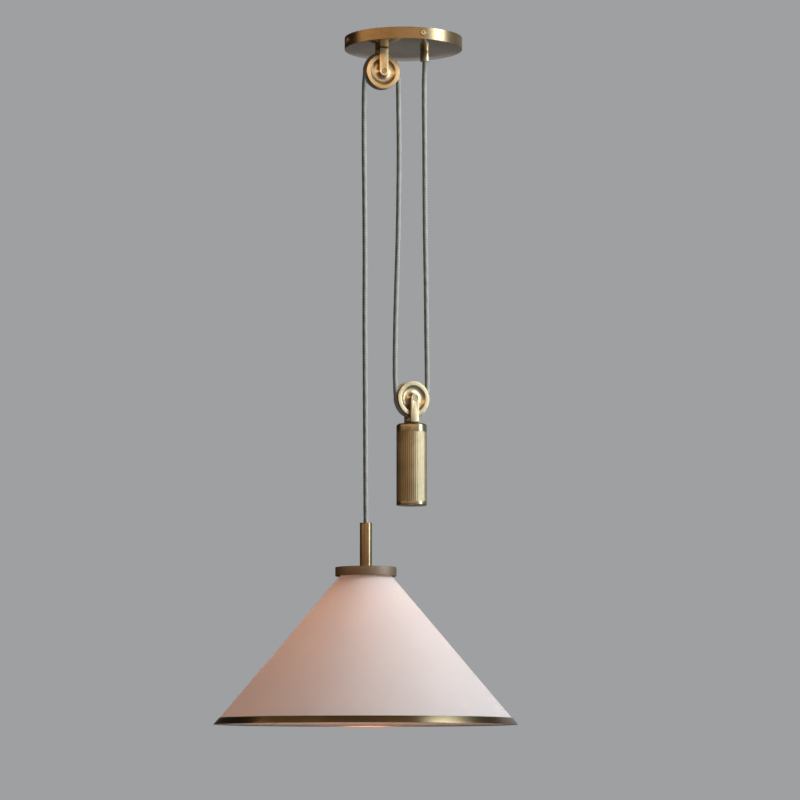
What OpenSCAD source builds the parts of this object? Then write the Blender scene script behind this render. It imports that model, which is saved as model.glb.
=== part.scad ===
// Rise and fall pendant lamp.
// A cord runs from the shade over a wheel under the ceiling canopy, down round a second wheel
// on the counterweight, and back up to a grip in the canopy. Pulling the shade down by 2 mm
// lifts the counterweight by 1 mm.
// Origin: centre of the canopy on the ceiling. +Z is up, +X runs from the upper wheel to the
// cord grip. Everything hangs below Z = 0.

/* [Ceiling canopy] */
// Outer diameter of the canopy
canopy_d = 160; // [140:1:220]
// Height of the canopy below the ceiling
canopy_h = 16; // [15:0.5:30]
// Wall of the canopy
canopy_wall = 1.5; // [1:0.1:2]
// Radius of the canopy's lower edge
canopy_edge = 0.8; // [0.3:0.1:1.5]
// Thickness of the steel mounting plate
plate_t = 2; // [1.5:0.1:2.5]
// Gap between the canopy wall and the plate's tabs
plate_gap = 1; // [0.7:0.1:2]
// Width of each bent tab
tab_w = 14; // [10:0.5:18]
// Hole in the plate for the supply cable
cable_hole_d = 24; // [16:1:28]
// Distance between the two ceiling screw slots
slot_spacing = 89; // [80:1:100]
// Overall length of a slot
slot_l = 16; // [8:1:24]
// Width of a slot
slot_w = 5; // [4:0.1:6]
// Thread diameter of the screws in the canopy's side
side_screw_d = 4; // [3:0.1:5]
// Head diameter of the screws in the canopy's side
side_screw_head_d = 7.8; // [7:0.1:9]

/* [Pulley wheels] */
// Outer diameter of both wheels
wheel_d = 47; // [40:1:60]
// Width of each lip beside the cord groove
lip_w = 3; // [1:0.1:4]
// Width of the flat ring round the dished face
ring_w = 5.5; // [4:0.1:8]
// Depth of the round dish between the hub and the flat ring
dish_depth = 3; // [1:0.1:4]
// Diameter of the hub face
hub_d = 12; // [11:0.5:16]
// Diameter of the axles
axle_d = 5; // [4:0.1:5.5]
// Wall of the bronze bushes
bush_wall = 1.5; // [1:0.1:2]
// Radial running clearance between bush and axle
running_gap = 0.05; // [0.02:0.01:0.1]

/* [Yokes] */
// Distance from the canopy's centre to the upper axle
pulley_x = 31; // [26:1:40]
// Width of the yoke strap
yoke_w = 12.2; // [10:0.1:16]
// Thickness of the yoke strap
yoke_t = 2.6; // [2.5:0.1:4]
// Outer radius of the yoke's bends
yoke_bend = 1.6; // [1:0.1:3]
// Gap between the wheel and each cheek, filled by a spacer
cheek_gap = 1; // [0.8:0.1:4]
// Gap between the cord on the wheel and the bridge of the yoke
bridge_gap = 3.2; // [3:0.1:8]

/* [Cord and its grip] */
// Diameter of the fabric-covered cord
cord_d = 6.8; // [5:0.1:7.2]
// Distance from the canopy's centre to the cord grip
grip_x = 31; // [26:1:40]
// Outer diameter of the cord grip tube
grip_d = 12.4; // [12:0.1:16]
// Length of the grip tube below the canopy
grip_l = 14; // [10:0.5:30]
// Thread diameter of the grip's set screw
set_screw_d = 3; // [2:0.1:3.5]
// Angle of the set screw round the tube
set_screw_angle = -65; // [-180:1:180]

/* [Counterweight] */
// Distance from the ceiling to the lower axle
lower_axle_drop = 493; // [400:1:600]
// Turn of the hanging counterweight about its vertical axis
weight_yaw = 8; // [-20:1:20]
// Outer diameter of the counterweight
weight_d = 41; // [38:0.5:50]
// Length of the fluted shell
flute_l = 94; // [80:1:130]
// Number of flutes round the shell
flute_count = 48; // [36:1:54]
// Depth of each flute
flute_depth = 0.65; // [0.3:0.05:1]
// Wall of the fluted shell
weight_wall = 3; // [2.5:0.1:4]
// Height of the plain top cap
top_cap_h = 11; // [6:0.5:16]
// Height of the plain bottom cap
bottom_cap_h = 5; // [3:0.5:10]
// Bevel round the top cap
top_bevel = 2; // [0.5:0.1:3]
// Height of the collar between yoke and counterweight
collar_h = 1.5; // [1:0.1:5]
// Diameter of the collar
collar_d = 14; // [11:0.5:18]
// Length of the steel ballast inside the shell
ballast_l = 46; // [30:1:70]

/* [Stem and cap] */
// Distance from the ceiling to the top of the stem
stem_top_drop = 662; // [600:1:760]
// Distance that the shade hangs in from the upper wheel's tangent
shade_lean = 1.5; // [0:0.1:3]
// Outer diameter of the stem tube
stem_d = 16.2; // [15:0.1:20]
// Length of the stem tube
stem_l = 59.5; // [50:0.5:80]
// Wall of the stem tube
stem_wall = 1.5; // [1:0.1:2]
// Diameter of the disc cap on the shade
cap_d = 82; // [76:1:100]
// Height of the disc cap
cap_h = 12; // [11.5:0.5:20]
// Wall of the disc cap
cap_wall = 1.5; // [1:0.1:2]

/* [Shade] */
// Diameter across the rim band
shade_d = 406; // [350:1:500]
// Height of the shade from its top ring to the rim
shade_h = 199; // [150:1:240]
// Diameter of the shade at its top ring
shade_top_d = 67.4; // [60:0.2:70]
// Thickness of the linen and its backing
fabric_t = 1.2; // [0.8:0.1:2]
// Height of the rim band
rim_h = 9; // [6:0.5:16]
// Thickness of the rim band
rim_t = 0.7; // [0.5:0.1:1.2]
// Diameter of the top ring's wire
ring_wire_d = 2.5; // [2:0.1:3]

/* [Lampholder and bulb] */
// Outer diameter of the lampholder
holder_d = 36; // [35:0.5:44]
// Height of the lampholder's cap
holder_cap_h = 24; // [22:0.5:30]
// Height of the lampholder's skirt
holder_skirt_h = 27; // [24:0.5:34]
// Outer diameter of the bulb's screw base
base_d = 26.4; // [26:0.1:27]
// Diameter of the bulb's globe
bulb_d = 60; // [45:1:80]
// Length of the bulb from its contact to the end of the globe
bulb_l = 108; // [100:1:120]

/* [Hidden] */
$fn = 96;

// Finishes
brass = [0.74, 0.56, 0.34];
pale_brass = [0.84, 0.68, 0.43];
steel = [0.62, 0.62, 0.60];
bronze = [0.60, 0.42, 0.25];
cord_colour = [0.42, 0.37, 0.33];
linen = [0.93, 0.90, 0.87];
ceramic_white = [0.90, 0.89, 0.85];
contact_brass = [0.80, 0.68, 0.40];
opal_glass = [0.95, 0.95, 0.92];
black_plastic = [0.08, 0.08, 0.08];
core_colour = [0.45, 0.30, 0.18];

// Small fits between pieces of one body
fit_gap = 0.02;
slip_gap = 0.1;
thread_gap = 0.04;
side_play = 0.15;
over = 1;

// Canopy
canopy_r = canopy_d / 2;
canopy_in_r = canopy_r - canopy_wall;
canopy_floor = -canopy_h + canopy_wall;
side_screw_z = -canopy_h * 0.47;
side_screw_count = 4;
side_screw_l = 6.5;
side_screw_head_h = 1.6;
tab_t = 2;
tab_x = canopy_in_r - plate_gap - tab_t;
tab_reach = -side_screw_z + side_screw_d / 2 + 2.5;
plate_r = tab_x + tab_t / 2;

// Terminal block, under the plate beside the cable hole
pole_pitch = 10;
pole_count = 3;
block_size = [pole_pitch * pole_count + 4, 15, 9];
block_y = cable_hole_d / 2 + 3.5 + block_size[1] / 2;
wire_hole_d = 3;
wire_hole_z = -plate_t - 4;
terminal_screw_d = 3;
fixing_screw_d = 3;
earth_y = -cable_hole_d / 2 - 10;

// Wheel
groove_r = cord_d / 2 + 0.3;
wheel_r = wheel_d / 2;
pitch_r = wheel_r;
wheel_w = 2 * (groove_r + lip_w);
dish_edge_r = wheel_r - ring_w;
bush_d = axle_d + 2 * bush_wall;

// Yoke, in its own frame with the axle at the origin and the bridge at +Z
yoke_gap = wheel_w + 2 * cheek_gap;
yoke_depth = yoke_gap + 2 * yoke_t;
yoke_reach = pitch_r + cord_d / 2 + bridge_gap + yoke_t;
head_d = axle_d + 1.2;
head_h = 1;
head_seat = yoke_depth / 2 - 1.2;
axle_tail = 2.5;
axle_nut_af = 8;
axle_nut_h = 4;
bolt_d = 5;
bolt_head_d = 9;
bolt_head_h = 2.2;
bolt_nut_af = 8;
bolt_nut_h = 4;

// Places of the two wheels, the grip and the shade
upper_axle = [-pulley_x, 0, -canopy_h - yoke_reach];
grip_end = [grip_x, 0, -canopy_h - grip_l];
lower_x = (-pulley_x + pitch_r + grip_x) / 2;
lower_axle = [lower_x, 0, -lower_axle_drop];
shade_x = -pulley_x - pitch_r + shade_lean;
stem_top = [shade_x, 0, -stem_top_drop];
tangent = pitch_r * [cos(weight_yaw), sin(weight_yaw), 0];

// Cord routes. Each pair is a share of the way down a run and how far the cord stands out of
// the straight line there, in mm along X: a stiff cord bows a little where it leaves a wheel.
shade_run_bow = [[0, 0], [0.04, -1.6], [0.17, -2], [0.26, -1.4], [0.41, -0.9], [0.54, -1.2],
    [0.66, -1], [0.78, -0.6], [0.9, -0.3], [1, 0]];
middle_run_bow = [[0, 0], [0.07, 0.7], [0.24, 2], [0.38, 1.9], [0.52, 1.2], [0.66, -0.3],
    [0.79, -1.5], [0.93, -1.6], [1, 0]];
grip_run_bow = [[0, 0], [0.08, -1.2], [0.24, -1.1], [0.4, -1.2], [0.53, -1], [0.67, -0.3],
    [0.8, 0], [0.93, 0.3], [1, 0]];
run_sides = 12;
ring_step = 19;

// Cord grip
grip_bore = cord_d + 2 * slip_gap;
grip_stub_d = grip_bore + 3;
grip_stub_top = canopy_floor + 6;
grip_nut_af = grip_stub_d + 4;
grip_nut_h = 3;
grip_screw_z = grip_end[2] + 1.8;
tail_top = grip_stub_top + 0.5;

// Wires in the canopy: from the cord's end to the three poles
core_d = 1.8;
core_spread = 2.4;
core_climb = 1.2;
core_sides = 8;

// Counterweight, in the lower yoke's frame with the axle at the origin
collar_top = -yoke_reach;
weight_top = collar_top - collar_h;
shell_top = weight_top - top_cap_h;
shell_bottom = shell_top - flute_l;
weight_bottom = shell_bottom - bottom_cap_h;
weight_bore_d = weight_d - 2 * weight_wall;
spigot_h = 4;
ballast_top = shell_top - spigot_h;
ballast_d = weight_bore_d - 1;
lower_bolt_l = yoke_t + collar_h + top_cap_h + spigot_h + 14;
flute_r = 1;

// Stem, cap and shade
stem_bottom_z = -stem_top_drop - stem_l;
stem_in_d = stem_d - 2 * stem_wall;
top_bush_h = 8;
top_bush_recess = 0.4;
bottom_bush_h = 10;
cord_stop_h = 8;
cord_in_stem_l = top_bush_recess + top_bush_h + cord_stop_h + 10;
nipple_d = 10;
nipple_bore = 7;
cap_plate_z = stem_bottom_z - cap_wall;
cap_bottom_z = stem_bottom_z - cap_h;
nut_af = 14;
nut_h = 4;
hub_t = 1.5;
shade_top_z = cap_bottom_z + 1.5;
hub_bottom_z = shade_top_z - 1;
hub_top_z = hub_bottom_z + hub_t;
rim_z = shade_top_z - shade_h;
rim_lip_t = 1;
rim_gap = 0.12;
fabric_bottom_z = rim_z + rim_lip_t;
// How much the wall's radius grows for each mm down, and the wall's share along the radius
rim_run = (shade_d / 2 - shade_top_d / 2) / shade_h;
rim_skew = sqrt(1 + rim_run * rim_run);
fabric_rim_r = shade_d / 2 - rim_t * rim_skew - rim_gap;
slope = (fabric_rim_r - shade_top_d / 2) / shade_h;
skew = sqrt(1 + slope * slope);
fabric_w = fabric_t * skew;
carrier_z = shade_top_z - 1.5;
carrier_r = fabric_r(carrier_z) - fabric_w - (ring_wire_d / 2 + 0.1) * skew;
arm_count = 3;
arm_w = 6;
hub_r = nut_af;

// Lampholder and bulb
holder_top = hub_bottom_z;
holder_r = holder_d / 2;
holder_wall = 1.2;
boss_r = 9;
boss_h = 4;
shoulder_h = 9;
holder_split = holder_top - holder_cap_h;
skirt_spigot = 1;
insert_h = 9;
insert_bottom = holder_split + skirt_spigot;
shell_gap = 0.3;
shell_r = base_d / 2 + shell_gap;
shell_wall = 0.6;
shell_h = 22;
contact_h = 2.2;
tip_top = insert_bottom - contact_h - 0.2;
tip_h = 4;
base_h = 22;
base_top = tip_top - tip_h;
base_bottom = base_top - base_h;
glass_t = 1;
bulb_r = bulb_d / 2;
globe_z = tip_top - bulb_l + bulb_r;
neck_r = base_d / 2 - 0.6;

function fabric_r(z) = shade_top_d / 2 + (shade_top_z - z) * slope;

function arc(centre, r, from, to, steps = 8) =
    [for (i = [0:steps]) centre + r * [cos(from + (to - from) * i / steps),
        sin(from + (to - from) * i / steps)]];

// Where the line from point p touches a circle; side is 1 or -1
function touch(p, centre, r, side) =
    let (d = p - centre, a = atan2(d[1], d[0]) + side * acos(r / norm(d)))
    centre + r * [cos(a), sin(a)];

function unit(v) = v / norm(v);

// Ring of points round a path point, square to the direction t
function ring(p, t, r, sides, ref) =
    let (u = unit(cross(t, ref)), v = cross(unit(t), u))
    [for (k = [0:sides - 1]) p + r * (u * cos(360 * k / sides) + v * sin(360 * k / sides))];

function run_points(top, bottom, bow) =
    let (n = ceil((top[2] - bottom[2]) / ring_step))
    [for (i = [0:n]) top + (bottom - top) * i / n + [lookup(i / n, bow), 0, 0]];

function path_direction(path, i) =
    unit(path[min(i + 1, len(path) - 1)] - path[max(i - 1, 0)]);

// Closed tube through a list of rings
module tube_of_rings(rings) {
    sides = len(rings[0]);
    last = len(rings) - 1;
    faces = [
        [for (k = [0:sides - 1]) k],
        for (i = [0:last - 1], k = [0:sides - 1])
            [i * sides + k, (i + 1) * sides + k, (i + 1) * sides + (k + 1) % sides],
        for (i = [0:last - 1], k = [0:sides - 1])
            [i * sides + k, (i + 1) * sides + (k + 1) % sides, i * sides + (k + 1) % sides],
        [for (k = [sides - 1:-1:0]) last * sides + k]
    ];
    polyhedron([for (r = rings) each r], faces, convexity = 4);
}

// A run of cord between two wheels or fittings, with level ends
module cord_run(top, bottom, bow) {
    color(cord_colour)
        tube_of_rings([for (p = run_points(top, bottom, bow))
            ring(p, [0, 0, -1], cord_d / 2, run_sides, [0, 1, 0])]);
}

// A wire that bends through a list of points
module wire(path) {
    tube_of_rings([for (i = [0:len(path) - 1])
        ring(path[i], path_direction(path, i), core_d / 2, core_sides, [1, 1, 0])]);
}

// Half of a cord ring lying in a wheel's groove, above the axle
module half_loop() {
    color(cord_colour)
        rotate([90, 0, 0])
            rotate_extrude(angle = 180)
                translate([pitch_r, 0]) circle(d = cord_d);
}

module tube(outer_d, inner_d, h) {
    difference() {
        cylinder(d = outer_d, h = h);
        translate([0, 0, -over]) cylinder(d = inner_d, h = h + 2 * over);
    }
}

// Hexagon nut standing on the XY plane, with its corners turned off
module hex_nut(af, bore_d, h) {
    difference() {
        intersection() {
            cylinder(d = af / cos(30), h = h, $fn = 6);
            rotate_extrude() polygon([[0, 0], [af / 2, 0], [af / 2 + h / 4, h / 6],
                [af / 2 + h / 4, h - h / 6], [af / 2, h], [0, h]]);
        }
        translate([0, 0, -over]) cylinder(d = bore_d, h = h + 2 * over);
    }
}

// Low round head, standing up from the XY plane, with a hexagon socket
module socket_head(d, h, socket_af) {
    difference() {
        rotate_extrude()
            polygon(concat([[0, 0], [d / 2, 0]], arc([d / 2 - h / 2, h / 2], h / 2, 0, 90), [[0, h]]));
        translate([0, 0, h * 0.4]) cylinder(d = socket_af / cos(30), h = h, $fn = 6);
    }
}

// ---- Canopy ----

module at_side_screws() {
    for (i = [0:side_screw_count - 1])
        rotate([0, 0, i * 360 / side_screw_count])
            translate([canopy_r, 0, side_screw_z]) rotate([0, 90, 0]) children();
}

module canopy_shell() {
    color(brass) difference() {
        rotate_extrude(convexity = 4) polygon(concat(
            [[0, canopy_floor], [0, -canopy_h]],
            arc([canopy_r - canopy_edge, -canopy_h + canopy_edge], canopy_edge, -90, 0),
            [[canopy_r, 0], [canopy_in_r, 0], [canopy_in_r, canopy_floor]]));
        translate([-pulley_x, 0, -canopy_h - over])
            cylinder(d = bolt_d + 2 * slip_gap, h = canopy_wall + 2 * over);
        translate([grip_x, 0, -canopy_h - over])
            cylinder(d = grip_stub_d + 2 * slip_gap, h = canopy_wall + 2 * over);
        at_side_screws()
            translate([0, 0, -canopy_wall - over])
                cylinder(d = side_screw_d + 2 * slip_gap, h = canopy_wall + 2 * over);
    }
}

module slot(length, width) {
    for (s = [-1, 1])
        translate([0, s * (length - width) / 2, 0]) circle(d = width);
    square([width, length - width], center = true);
}

module mounting_plate() {
    color(steel) difference() {
        union() {
            translate([0, 0, -plate_t]) cylinder(r = plate_r, h = plate_t);
            for (i = [0:side_screw_count - 1])
                rotate([0, 0, i * 360 / side_screw_count]) {
                    translate([tab_x - tab_w, -tab_w / 2, -plate_t])
                        cube([tab_w + tab_t, tab_w, plate_t]);
                    translate([tab_x, -tab_w / 2, -tab_reach]) cube([tab_t, tab_w, tab_reach]);
                }
        }
        translate([0, 0, -plate_t - over]) linear_extrude(plate_t + 2 * over) {
            circle(d = cable_hole_d);
            for (s = [-1, 1])
                translate([0, s * slot_spacing / 2]) slot(slot_l, slot_w);
            for (s = [-1, 1])
                translate([s * pole_pitch / 2, block_y]) circle(d = fixing_screw_d + thread_gap);
            translate([0, earth_y]) circle(d = side_screw_d + thread_gap);
        }
        at_side_screws()
            translate([0, 0, tab_x - canopy_r - over])
                cylinder(d = side_screw_d + thread_gap, h = tab_t + 2 * over);
    }
}

module canopy_side_screws() {
    color(pale_brass) at_side_screws() {
        socket_head(side_screw_head_d, side_screw_head_h, 3);
        translate([0, 0, -side_screw_l]) cylinder(d = side_screw_d, h = side_screw_l);
    }
}

module at_poles() {
    for (i = [0:pole_count - 1])
        translate([(i - (pole_count - 1) / 2) * pole_pitch, block_y, -plate_t - block_size[2]])
            children();
}

module terminal_block() {
    ceramic_step = 2.5;
    color(ceramic_white) difference() {
        union() {
            translate([-block_size[0] / 2, block_y - block_size[1] / 2, -plate_t - block_size[2] / 2])
                cube([block_size[0], block_size[1], block_size[2] / 2]);
            at_poles()
                translate([-pole_pitch / 2 + ceramic_step / 2, -block_size[1] / 2, 0])
                    cube([pole_pitch - ceramic_step, block_size[1], block_size[2]]);
        }
        at_poles() {
            translate([0, -block_size[1] / 2 - over, block_size[2] + plate_t + wire_hole_z])
                rotate([-90, 0, 0]) cylinder(d = wire_hole_d, h = block_size[1] + 2 * over);
            for (s = [-1, 1])
                translate([0, s * block_size[1] / 4, -over])
                    cylinder(d = terminal_screw_d + 2 * slip_gap, h = block_size[2] / 2);
        }
        for (s = [-1, 1])
            translate([s * pole_pitch / 2, block_y, -plate_t - block_size[2]])
                cylinder(d = fixing_screw_d + 2 * slip_gap, h = block_size[2] + over);
    }
}

module terminal_screws() {
    screw_l = block_size[2] + plate_t + wire_hole_z - wire_hole_d / 2;
    color(steel) at_poles()
        for (s = [-1, 1])
            translate([0, s * block_size[1] / 4, 0]) difference() {
                cylinder(d = terminal_screw_d, h = screw_l - slip_gap);
                translate([-terminal_screw_d, -0.3, -over])
                    cube([2 * terminal_screw_d, 0.6, over + 0.8]);
            }
}

module terminal_fixing_screws() {
    head_z = -plate_t - block_size[2] / 2;
    color(steel) for (s = [-1, 1])
        translate([s * pole_pitch / 2, block_y, head_z]) {
            mirror([0, 0, 1]) cylinder(d = fixing_screw_d, h = 1.5);
            cylinder(d = fixing_screw_d, h = block_size[2] / 2 + plate_t);
        }
}

module earth_screw() {
    color(contact_brass) translate([0, earth_y, -plate_t]) {
        mirror([0, 0, 1]) socket_head(side_screw_d + 4, 2.4, 2.5);
        cylinder(d = side_screw_d, h = plate_t);
    }
}

// ---- Cord grip ----

module cord_grip_tube() {
    lead_in = 0.6;
    color(pale_brass) translate([grip_x, 0, 0]) difference() {
        union() {
            translate([0, 0, grip_end[2]]) cylinder(d = grip_d, h = grip_l);
            translate([0, 0, -canopy_h]) cylinder(d = grip_stub_d, h = grip_stub_top + canopy_h);
        }
        translate([0, 0, grip_end[2] - over])
            cylinder(d = grip_bore, h = grip_stub_top - grip_end[2] + 2 * over);
        translate([0, 0, grip_end[2] - 0.01])
            cylinder(d1 = grip_bore + 2 * lead_in, d2 = grip_bore, h = lead_in);
        rotate([0, 0, set_screw_angle])
            translate([grip_bore / 2 - over, 0, grip_screw_z])
                rotate([0, 90, 0]) cylinder(d = set_screw_d + thread_gap, h = grip_d);
    }
}

module grip_set_screw() {
    length = (grip_d - grip_bore) / 2;
    color(steel) translate([grip_x, 0, grip_screw_z]) rotate([0, 0, set_screw_angle])
        translate([grip_bore / 2, 0, 0]) rotate([0, 90, 0]) difference() {
            cylinder(d = set_screw_d, h = length);
            translate([0, 0, length - 1.2])
                cylinder(d = 0.5 * set_screw_d / cos(30), h = 2, $fn = 6);
        }
}

module grip_locknut() {
    color(steel) translate([grip_x, 0, canopy_floor])
        hex_nut(grip_nut_af, grip_stub_d + thread_gap, grip_nut_h);
}

module cord_tail() {
    color(cord_colour) translate([grip_x, 0, grip_end[2]])
        cylinder(d = cord_d, h = tail_top - grip_end[2]);
}

// Three wires leave the cord's end, pass clear of the cable hole and enter the poles
module cord_cores() {
    face_y = block_y - block_size[1] / 2;
    color(core_colour) for (i = [0:pole_count - 1]) {
        side = i - (pole_count - 1) / 2;
        pole_x = side * pole_pitch;
        start_y = side * core_spread;
        lane_y = face_y - 3.8 + start_y;
        level_z = tail_top + 3.2 + side * core_climb;
        turn_x = max(pole_x + 5, cable_hole_d / 2) + 5;
        wire([
            [grip_x, start_y, tail_top],
            [grip_x, start_y, tail_top + 0.5],
            [grip_x - 0.5, start_y + 0.3, (tail_top + level_z) / 2 + 0.4],
            [grip_x - 2.5, start_y + 2, level_z],
            [turn_x, lane_y - 0.5, level_z],
            [pole_x + 5, lane_y, level_z],
            [pole_x + 1.2, lane_y + 0.1, (level_z + wire_hole_z) / 2],
            [pole_x, face_y - 0.4, wire_hole_z],
            [pole_x, face_y + 3, wire_hole_z]
        ]);
    }
}

// ---- Yokes, axles and wheels, each round an axle at the origin ----

module rounded_top(w, h, r) {
    translate([-w / 2, -yoke_w]) square([w, h - r + yoke_w]);
    translate([-w / 2 + r, h - 2 * r]) square([w - 2 * r, 2 * r]);
    for (s = [-1, 1])
        translate([s * (w / 2 - r), h - r]) circle(r);
}

module yoke() {
    inner_bend = 0.5;
    difference() {
        intersection() {
            rotate([90, 0, 90]) translate([0, 0, -yoke_w / 2])
                linear_extrude(yoke_w) difference() {
                    rounded_top(yoke_depth, yoke_reach, yoke_bend);
                    rounded_top(yoke_gap, yoke_reach - yoke_t, inner_bend);
                }
            rotate([90, 0, 0]) translate([0, 0, -yoke_depth])
                linear_extrude(2 * yoke_depth) union() {
                    circle(d = yoke_w);
                    translate([-yoke_w / 2, 0]) square([yoke_w, yoke_reach + over]);
                }
        }
        rotate([90, 0, 0]) translate([0, 0, -yoke_depth])
            cylinder(d = axle_d + thread_gap, h = 2 * yoke_depth);
        rotate([90, 0, 0]) translate([0, 0, head_seat])
            cylinder(d = head_d + 0.8, h = yoke_depth);
        translate([0, 0, yoke_reach - yoke_t - over])
            cylinder(d = bolt_d + 2 * slip_gap, h = yoke_t + 2 * over);
    }
}

// Axle with its head at the front, -Y, and its thread at the back
module axle() {
    color(steel) rotate([90, 0, 0]) {
        translate([0, 0, -yoke_depth / 2 - axle_tail])
            cylinder(d = axle_d, h = yoke_depth / 2 + axle_tail + head_seat);
        translate([0, 0, head_seat]) socket_head(head_d, head_h, 2.5);
    }
}

module dome_nut() {
    dome_r = 0.62 * axle_nut_af;
    color(pale_brass) rotate([-90, 0, 0]) translate([0, 0, yoke_depth / 2]) difference() {
        intersection() {
            cylinder(d = axle_nut_af / cos(30), h = axle_nut_h, $fn = 6);
            translate([0, 0, axle_nut_h - dome_r]) sphere(dome_r);
        }
        translate([0, 0, -over]) cylinder(d = axle_d + thread_gap, h = over + axle_tail + slip_gap);
    }
}

module spacers() {
    color(steel) for (s = [-1, 1])
        rotate([s * 90, 0, 0]) translate([0, 0, wheel_w / 2 + side_play])
            tube(bush_d + 0.5, axle_d + 2 * running_gap, cheek_gap - 2 * side_play);
}

// The dish is a round hollow from the hub's edge to the flat ring
module dish_cut() {
    half_w = (dish_edge_r - hub_d / 2) / 2;
    dish_r = (half_w * half_w + dish_depth * dish_depth) / (2 * dish_depth);
    translate([dish_edge_r - half_w, wheel_w / 2 - dish_depth + dish_r]) circle(dish_r);
}

module wheel() {
    color(pale_brass) rotate([90, 0, 0]) difference() {
        rotate_extrude(convexity = 6) difference() {
            translate([bush_d / 2 + fit_gap, -wheel_w / 2])
                square([wheel_r - bush_d / 2 - fit_gap, wheel_w]);
            translate([pitch_r, 0]) circle(groove_r);
            dish_cut();
            mirror([0, 1]) dish_cut();
        }
    }
}

module wheel_bush() {
    color(bronze) rotate([90, 0, 0]) translate([0, 0, -wheel_w / 2])
        tube(bush_d, axle_d + 2 * running_gap, wheel_w);
}

// ---- Upper pulley ----

module at_upper() {
    translate(upper_axle) children();
}

module upper_yoke() {
    color(brass) at_upper() yoke();
}

module upper_yoke_bolt() {
    color(steel) translate([-pulley_x, 0, -canopy_h - yoke_t]) {
        mirror([0, 0, 1]) socket_head(bolt_head_d, bolt_head_h, 3);
        cylinder(d = bolt_d, h = yoke_t + canopy_wall + bolt_nut_h + 1);
    }
}

module upper_yoke_nut() {
    color(steel) translate([-pulley_x, 0, canopy_floor])
        hex_nut(bolt_nut_af, bolt_d + thread_gap, bolt_nut_h);
}

module upper_axle() {
    at_upper() axle();
}

module upper_axle_nut() {
    at_upper() dome_nut();
}

module upper_spacers() {
    at_upper() spacers();
}

module upper_wheel() {
    at_upper() wheel();
}

module upper_wheel_bush() {
    at_upper() wheel_bush();
}

module cord_over_upper_wheel() {
    at_upper() half_loop();
}

// ---- Cord runs ----

module cord_to_shade() {
    cord_run(upper_axle - [pitch_r, 0, 0], stem_top, shade_run_bow);
}

module cord_middle_run() {
    cord_run(upper_axle + [pitch_r, 0, 0], lower_axle - tangent, middle_run_bow);
}

module cord_to_canopy() {
    cord_run(grip_end, lower_axle + tangent, grip_run_bow);
}

// ---- Counterweight and lower pulley ----

module at_lower() {
    translate(lower_axle) rotate([0, 0, weight_yaw]) children();
}

module lower_yoke() {
    color(pale_brass) at_lower() rotate([0, 180, 0]) yoke();
}

module lower_yoke_bolt() {
    color(steel) at_lower() translate([0, 0, -yoke_reach + yoke_t]) {
        socket_head(bolt_head_d, bolt_head_h, 3);
        translate([0, 0, -lower_bolt_l]) cylinder(d = bolt_d, h = lower_bolt_l);
    }
}

module lower_axle() {
    at_lower() axle();
}

module lower_axle_nut() {
    at_lower() dome_nut();
}

module lower_spacers() {
    at_lower() spacers();
}

module lower_wheel() {
    at_lower() wheel();
}

module lower_wheel_bush() {
    at_lower() wheel_bush();
}

module cord_under_lower_wheel() {
    at_lower() rotate([180, 0, 0]) half_loop();
}

module weight_collar() {
    color(brass) at_lower() translate([0, 0, weight_top])
        tube(collar_d, bolt_d + 2 * slip_gap, collar_h);
}

module weight_top_cap() {
    r = weight_d / 2;
    color(brass) at_lower() difference() {
        rotate_extrude() polygon([[0, shell_top - spigot_h],
            [weight_bore_d / 2 - fit_gap, shell_top - spigot_h],
            [weight_bore_d / 2 - fit_gap, shell_top], [r, shell_top],
            [r, weight_top - top_bevel], [r - top_bevel, weight_top], [0, weight_top]]);
        translate([0, 0, shell_top - spigot_h - over])
            cylinder(d = bolt_d + 2 * slip_gap, h = spigot_h + top_cap_h + 2 * over);
    }
}

// Tube with round flutes cut all the way along it
module weight_shell() {
    color(brass) at_lower() translate([0, 0, shell_bottom]) linear_extrude(flute_l)
        difference() {
            circle(d = weight_d);
            circle(d = weight_bore_d);
            for (i = [0:flute_count - 1])
                rotate(i * 360 / flute_count)
                    translate([weight_d / 2 + flute_r - flute_depth, 0]) circle(flute_r, $fn = 24);
        }
}

module weight_ballast() {
    color(steel) at_lower() translate([0, 0, ballast_top - ballast_l])
        tube(ballast_d, bolt_d + thread_gap, ballast_l);
}

module weight_bottom_cap() {
    r = weight_d / 2;
    edge = 1;
    color(brass) at_lower() rotate_extrude() polygon(concat(
        [[0, weight_bottom]],
        arc([r - edge, weight_bottom + edge], edge, -90, 0, 6),
        [[r, shell_bottom], [weight_bore_d / 2 - fit_gap, shell_bottom],
            [weight_bore_d / 2 - fit_gap, shell_bottom + spigot_h], [0, shell_bottom + spigot_h]]));
}

// ---- Stem and shade ----

module on_shade_axis(z) {
    translate([shade_x, 0, z]) children();
}

module stem_tube() {
    color(brass) on_shade_axis(stem_bottom_z) tube(stem_d, stem_in_d, stem_l);
}

module stem_top_bush() {
    lead_in = 0.8;
    top = -stem_top_drop - top_bush_recess;
    color(pale_brass) on_shade_axis(top - top_bush_h) difference() {
        tube(stem_in_d - 2 * fit_gap, cord_d + 2 * slip_gap, top_bush_h);
        translate([0, 0, top_bush_h - lead_in])
            cylinder(d1 = cord_d + 2 * slip_gap, d2 = cord_d + 2 * lead_in + 0.3, h = lead_in + 0.01);
    }
}

module stem_bottom_bush() {
    color(steel) on_shade_axis(stem_bottom_z)
        tube(stem_in_d - 2 * fit_gap, nipple_d + thread_gap, bottom_bush_h);
}

module cord_in_stem() {
    color(cord_colour) on_shade_axis(-stem_top_drop - cord_in_stem_l)
        cylinder(d = cord_d, h = cord_in_stem_l);
}

module cord_stop() {
    top = -stem_top_drop - top_bush_recess - top_bush_h;
    color(black_plastic) on_shade_axis(top - cord_stop_h)
        tube(stem_in_d - 0.6, cord_d + 2 * fit_gap, cord_stop_h);
}

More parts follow.
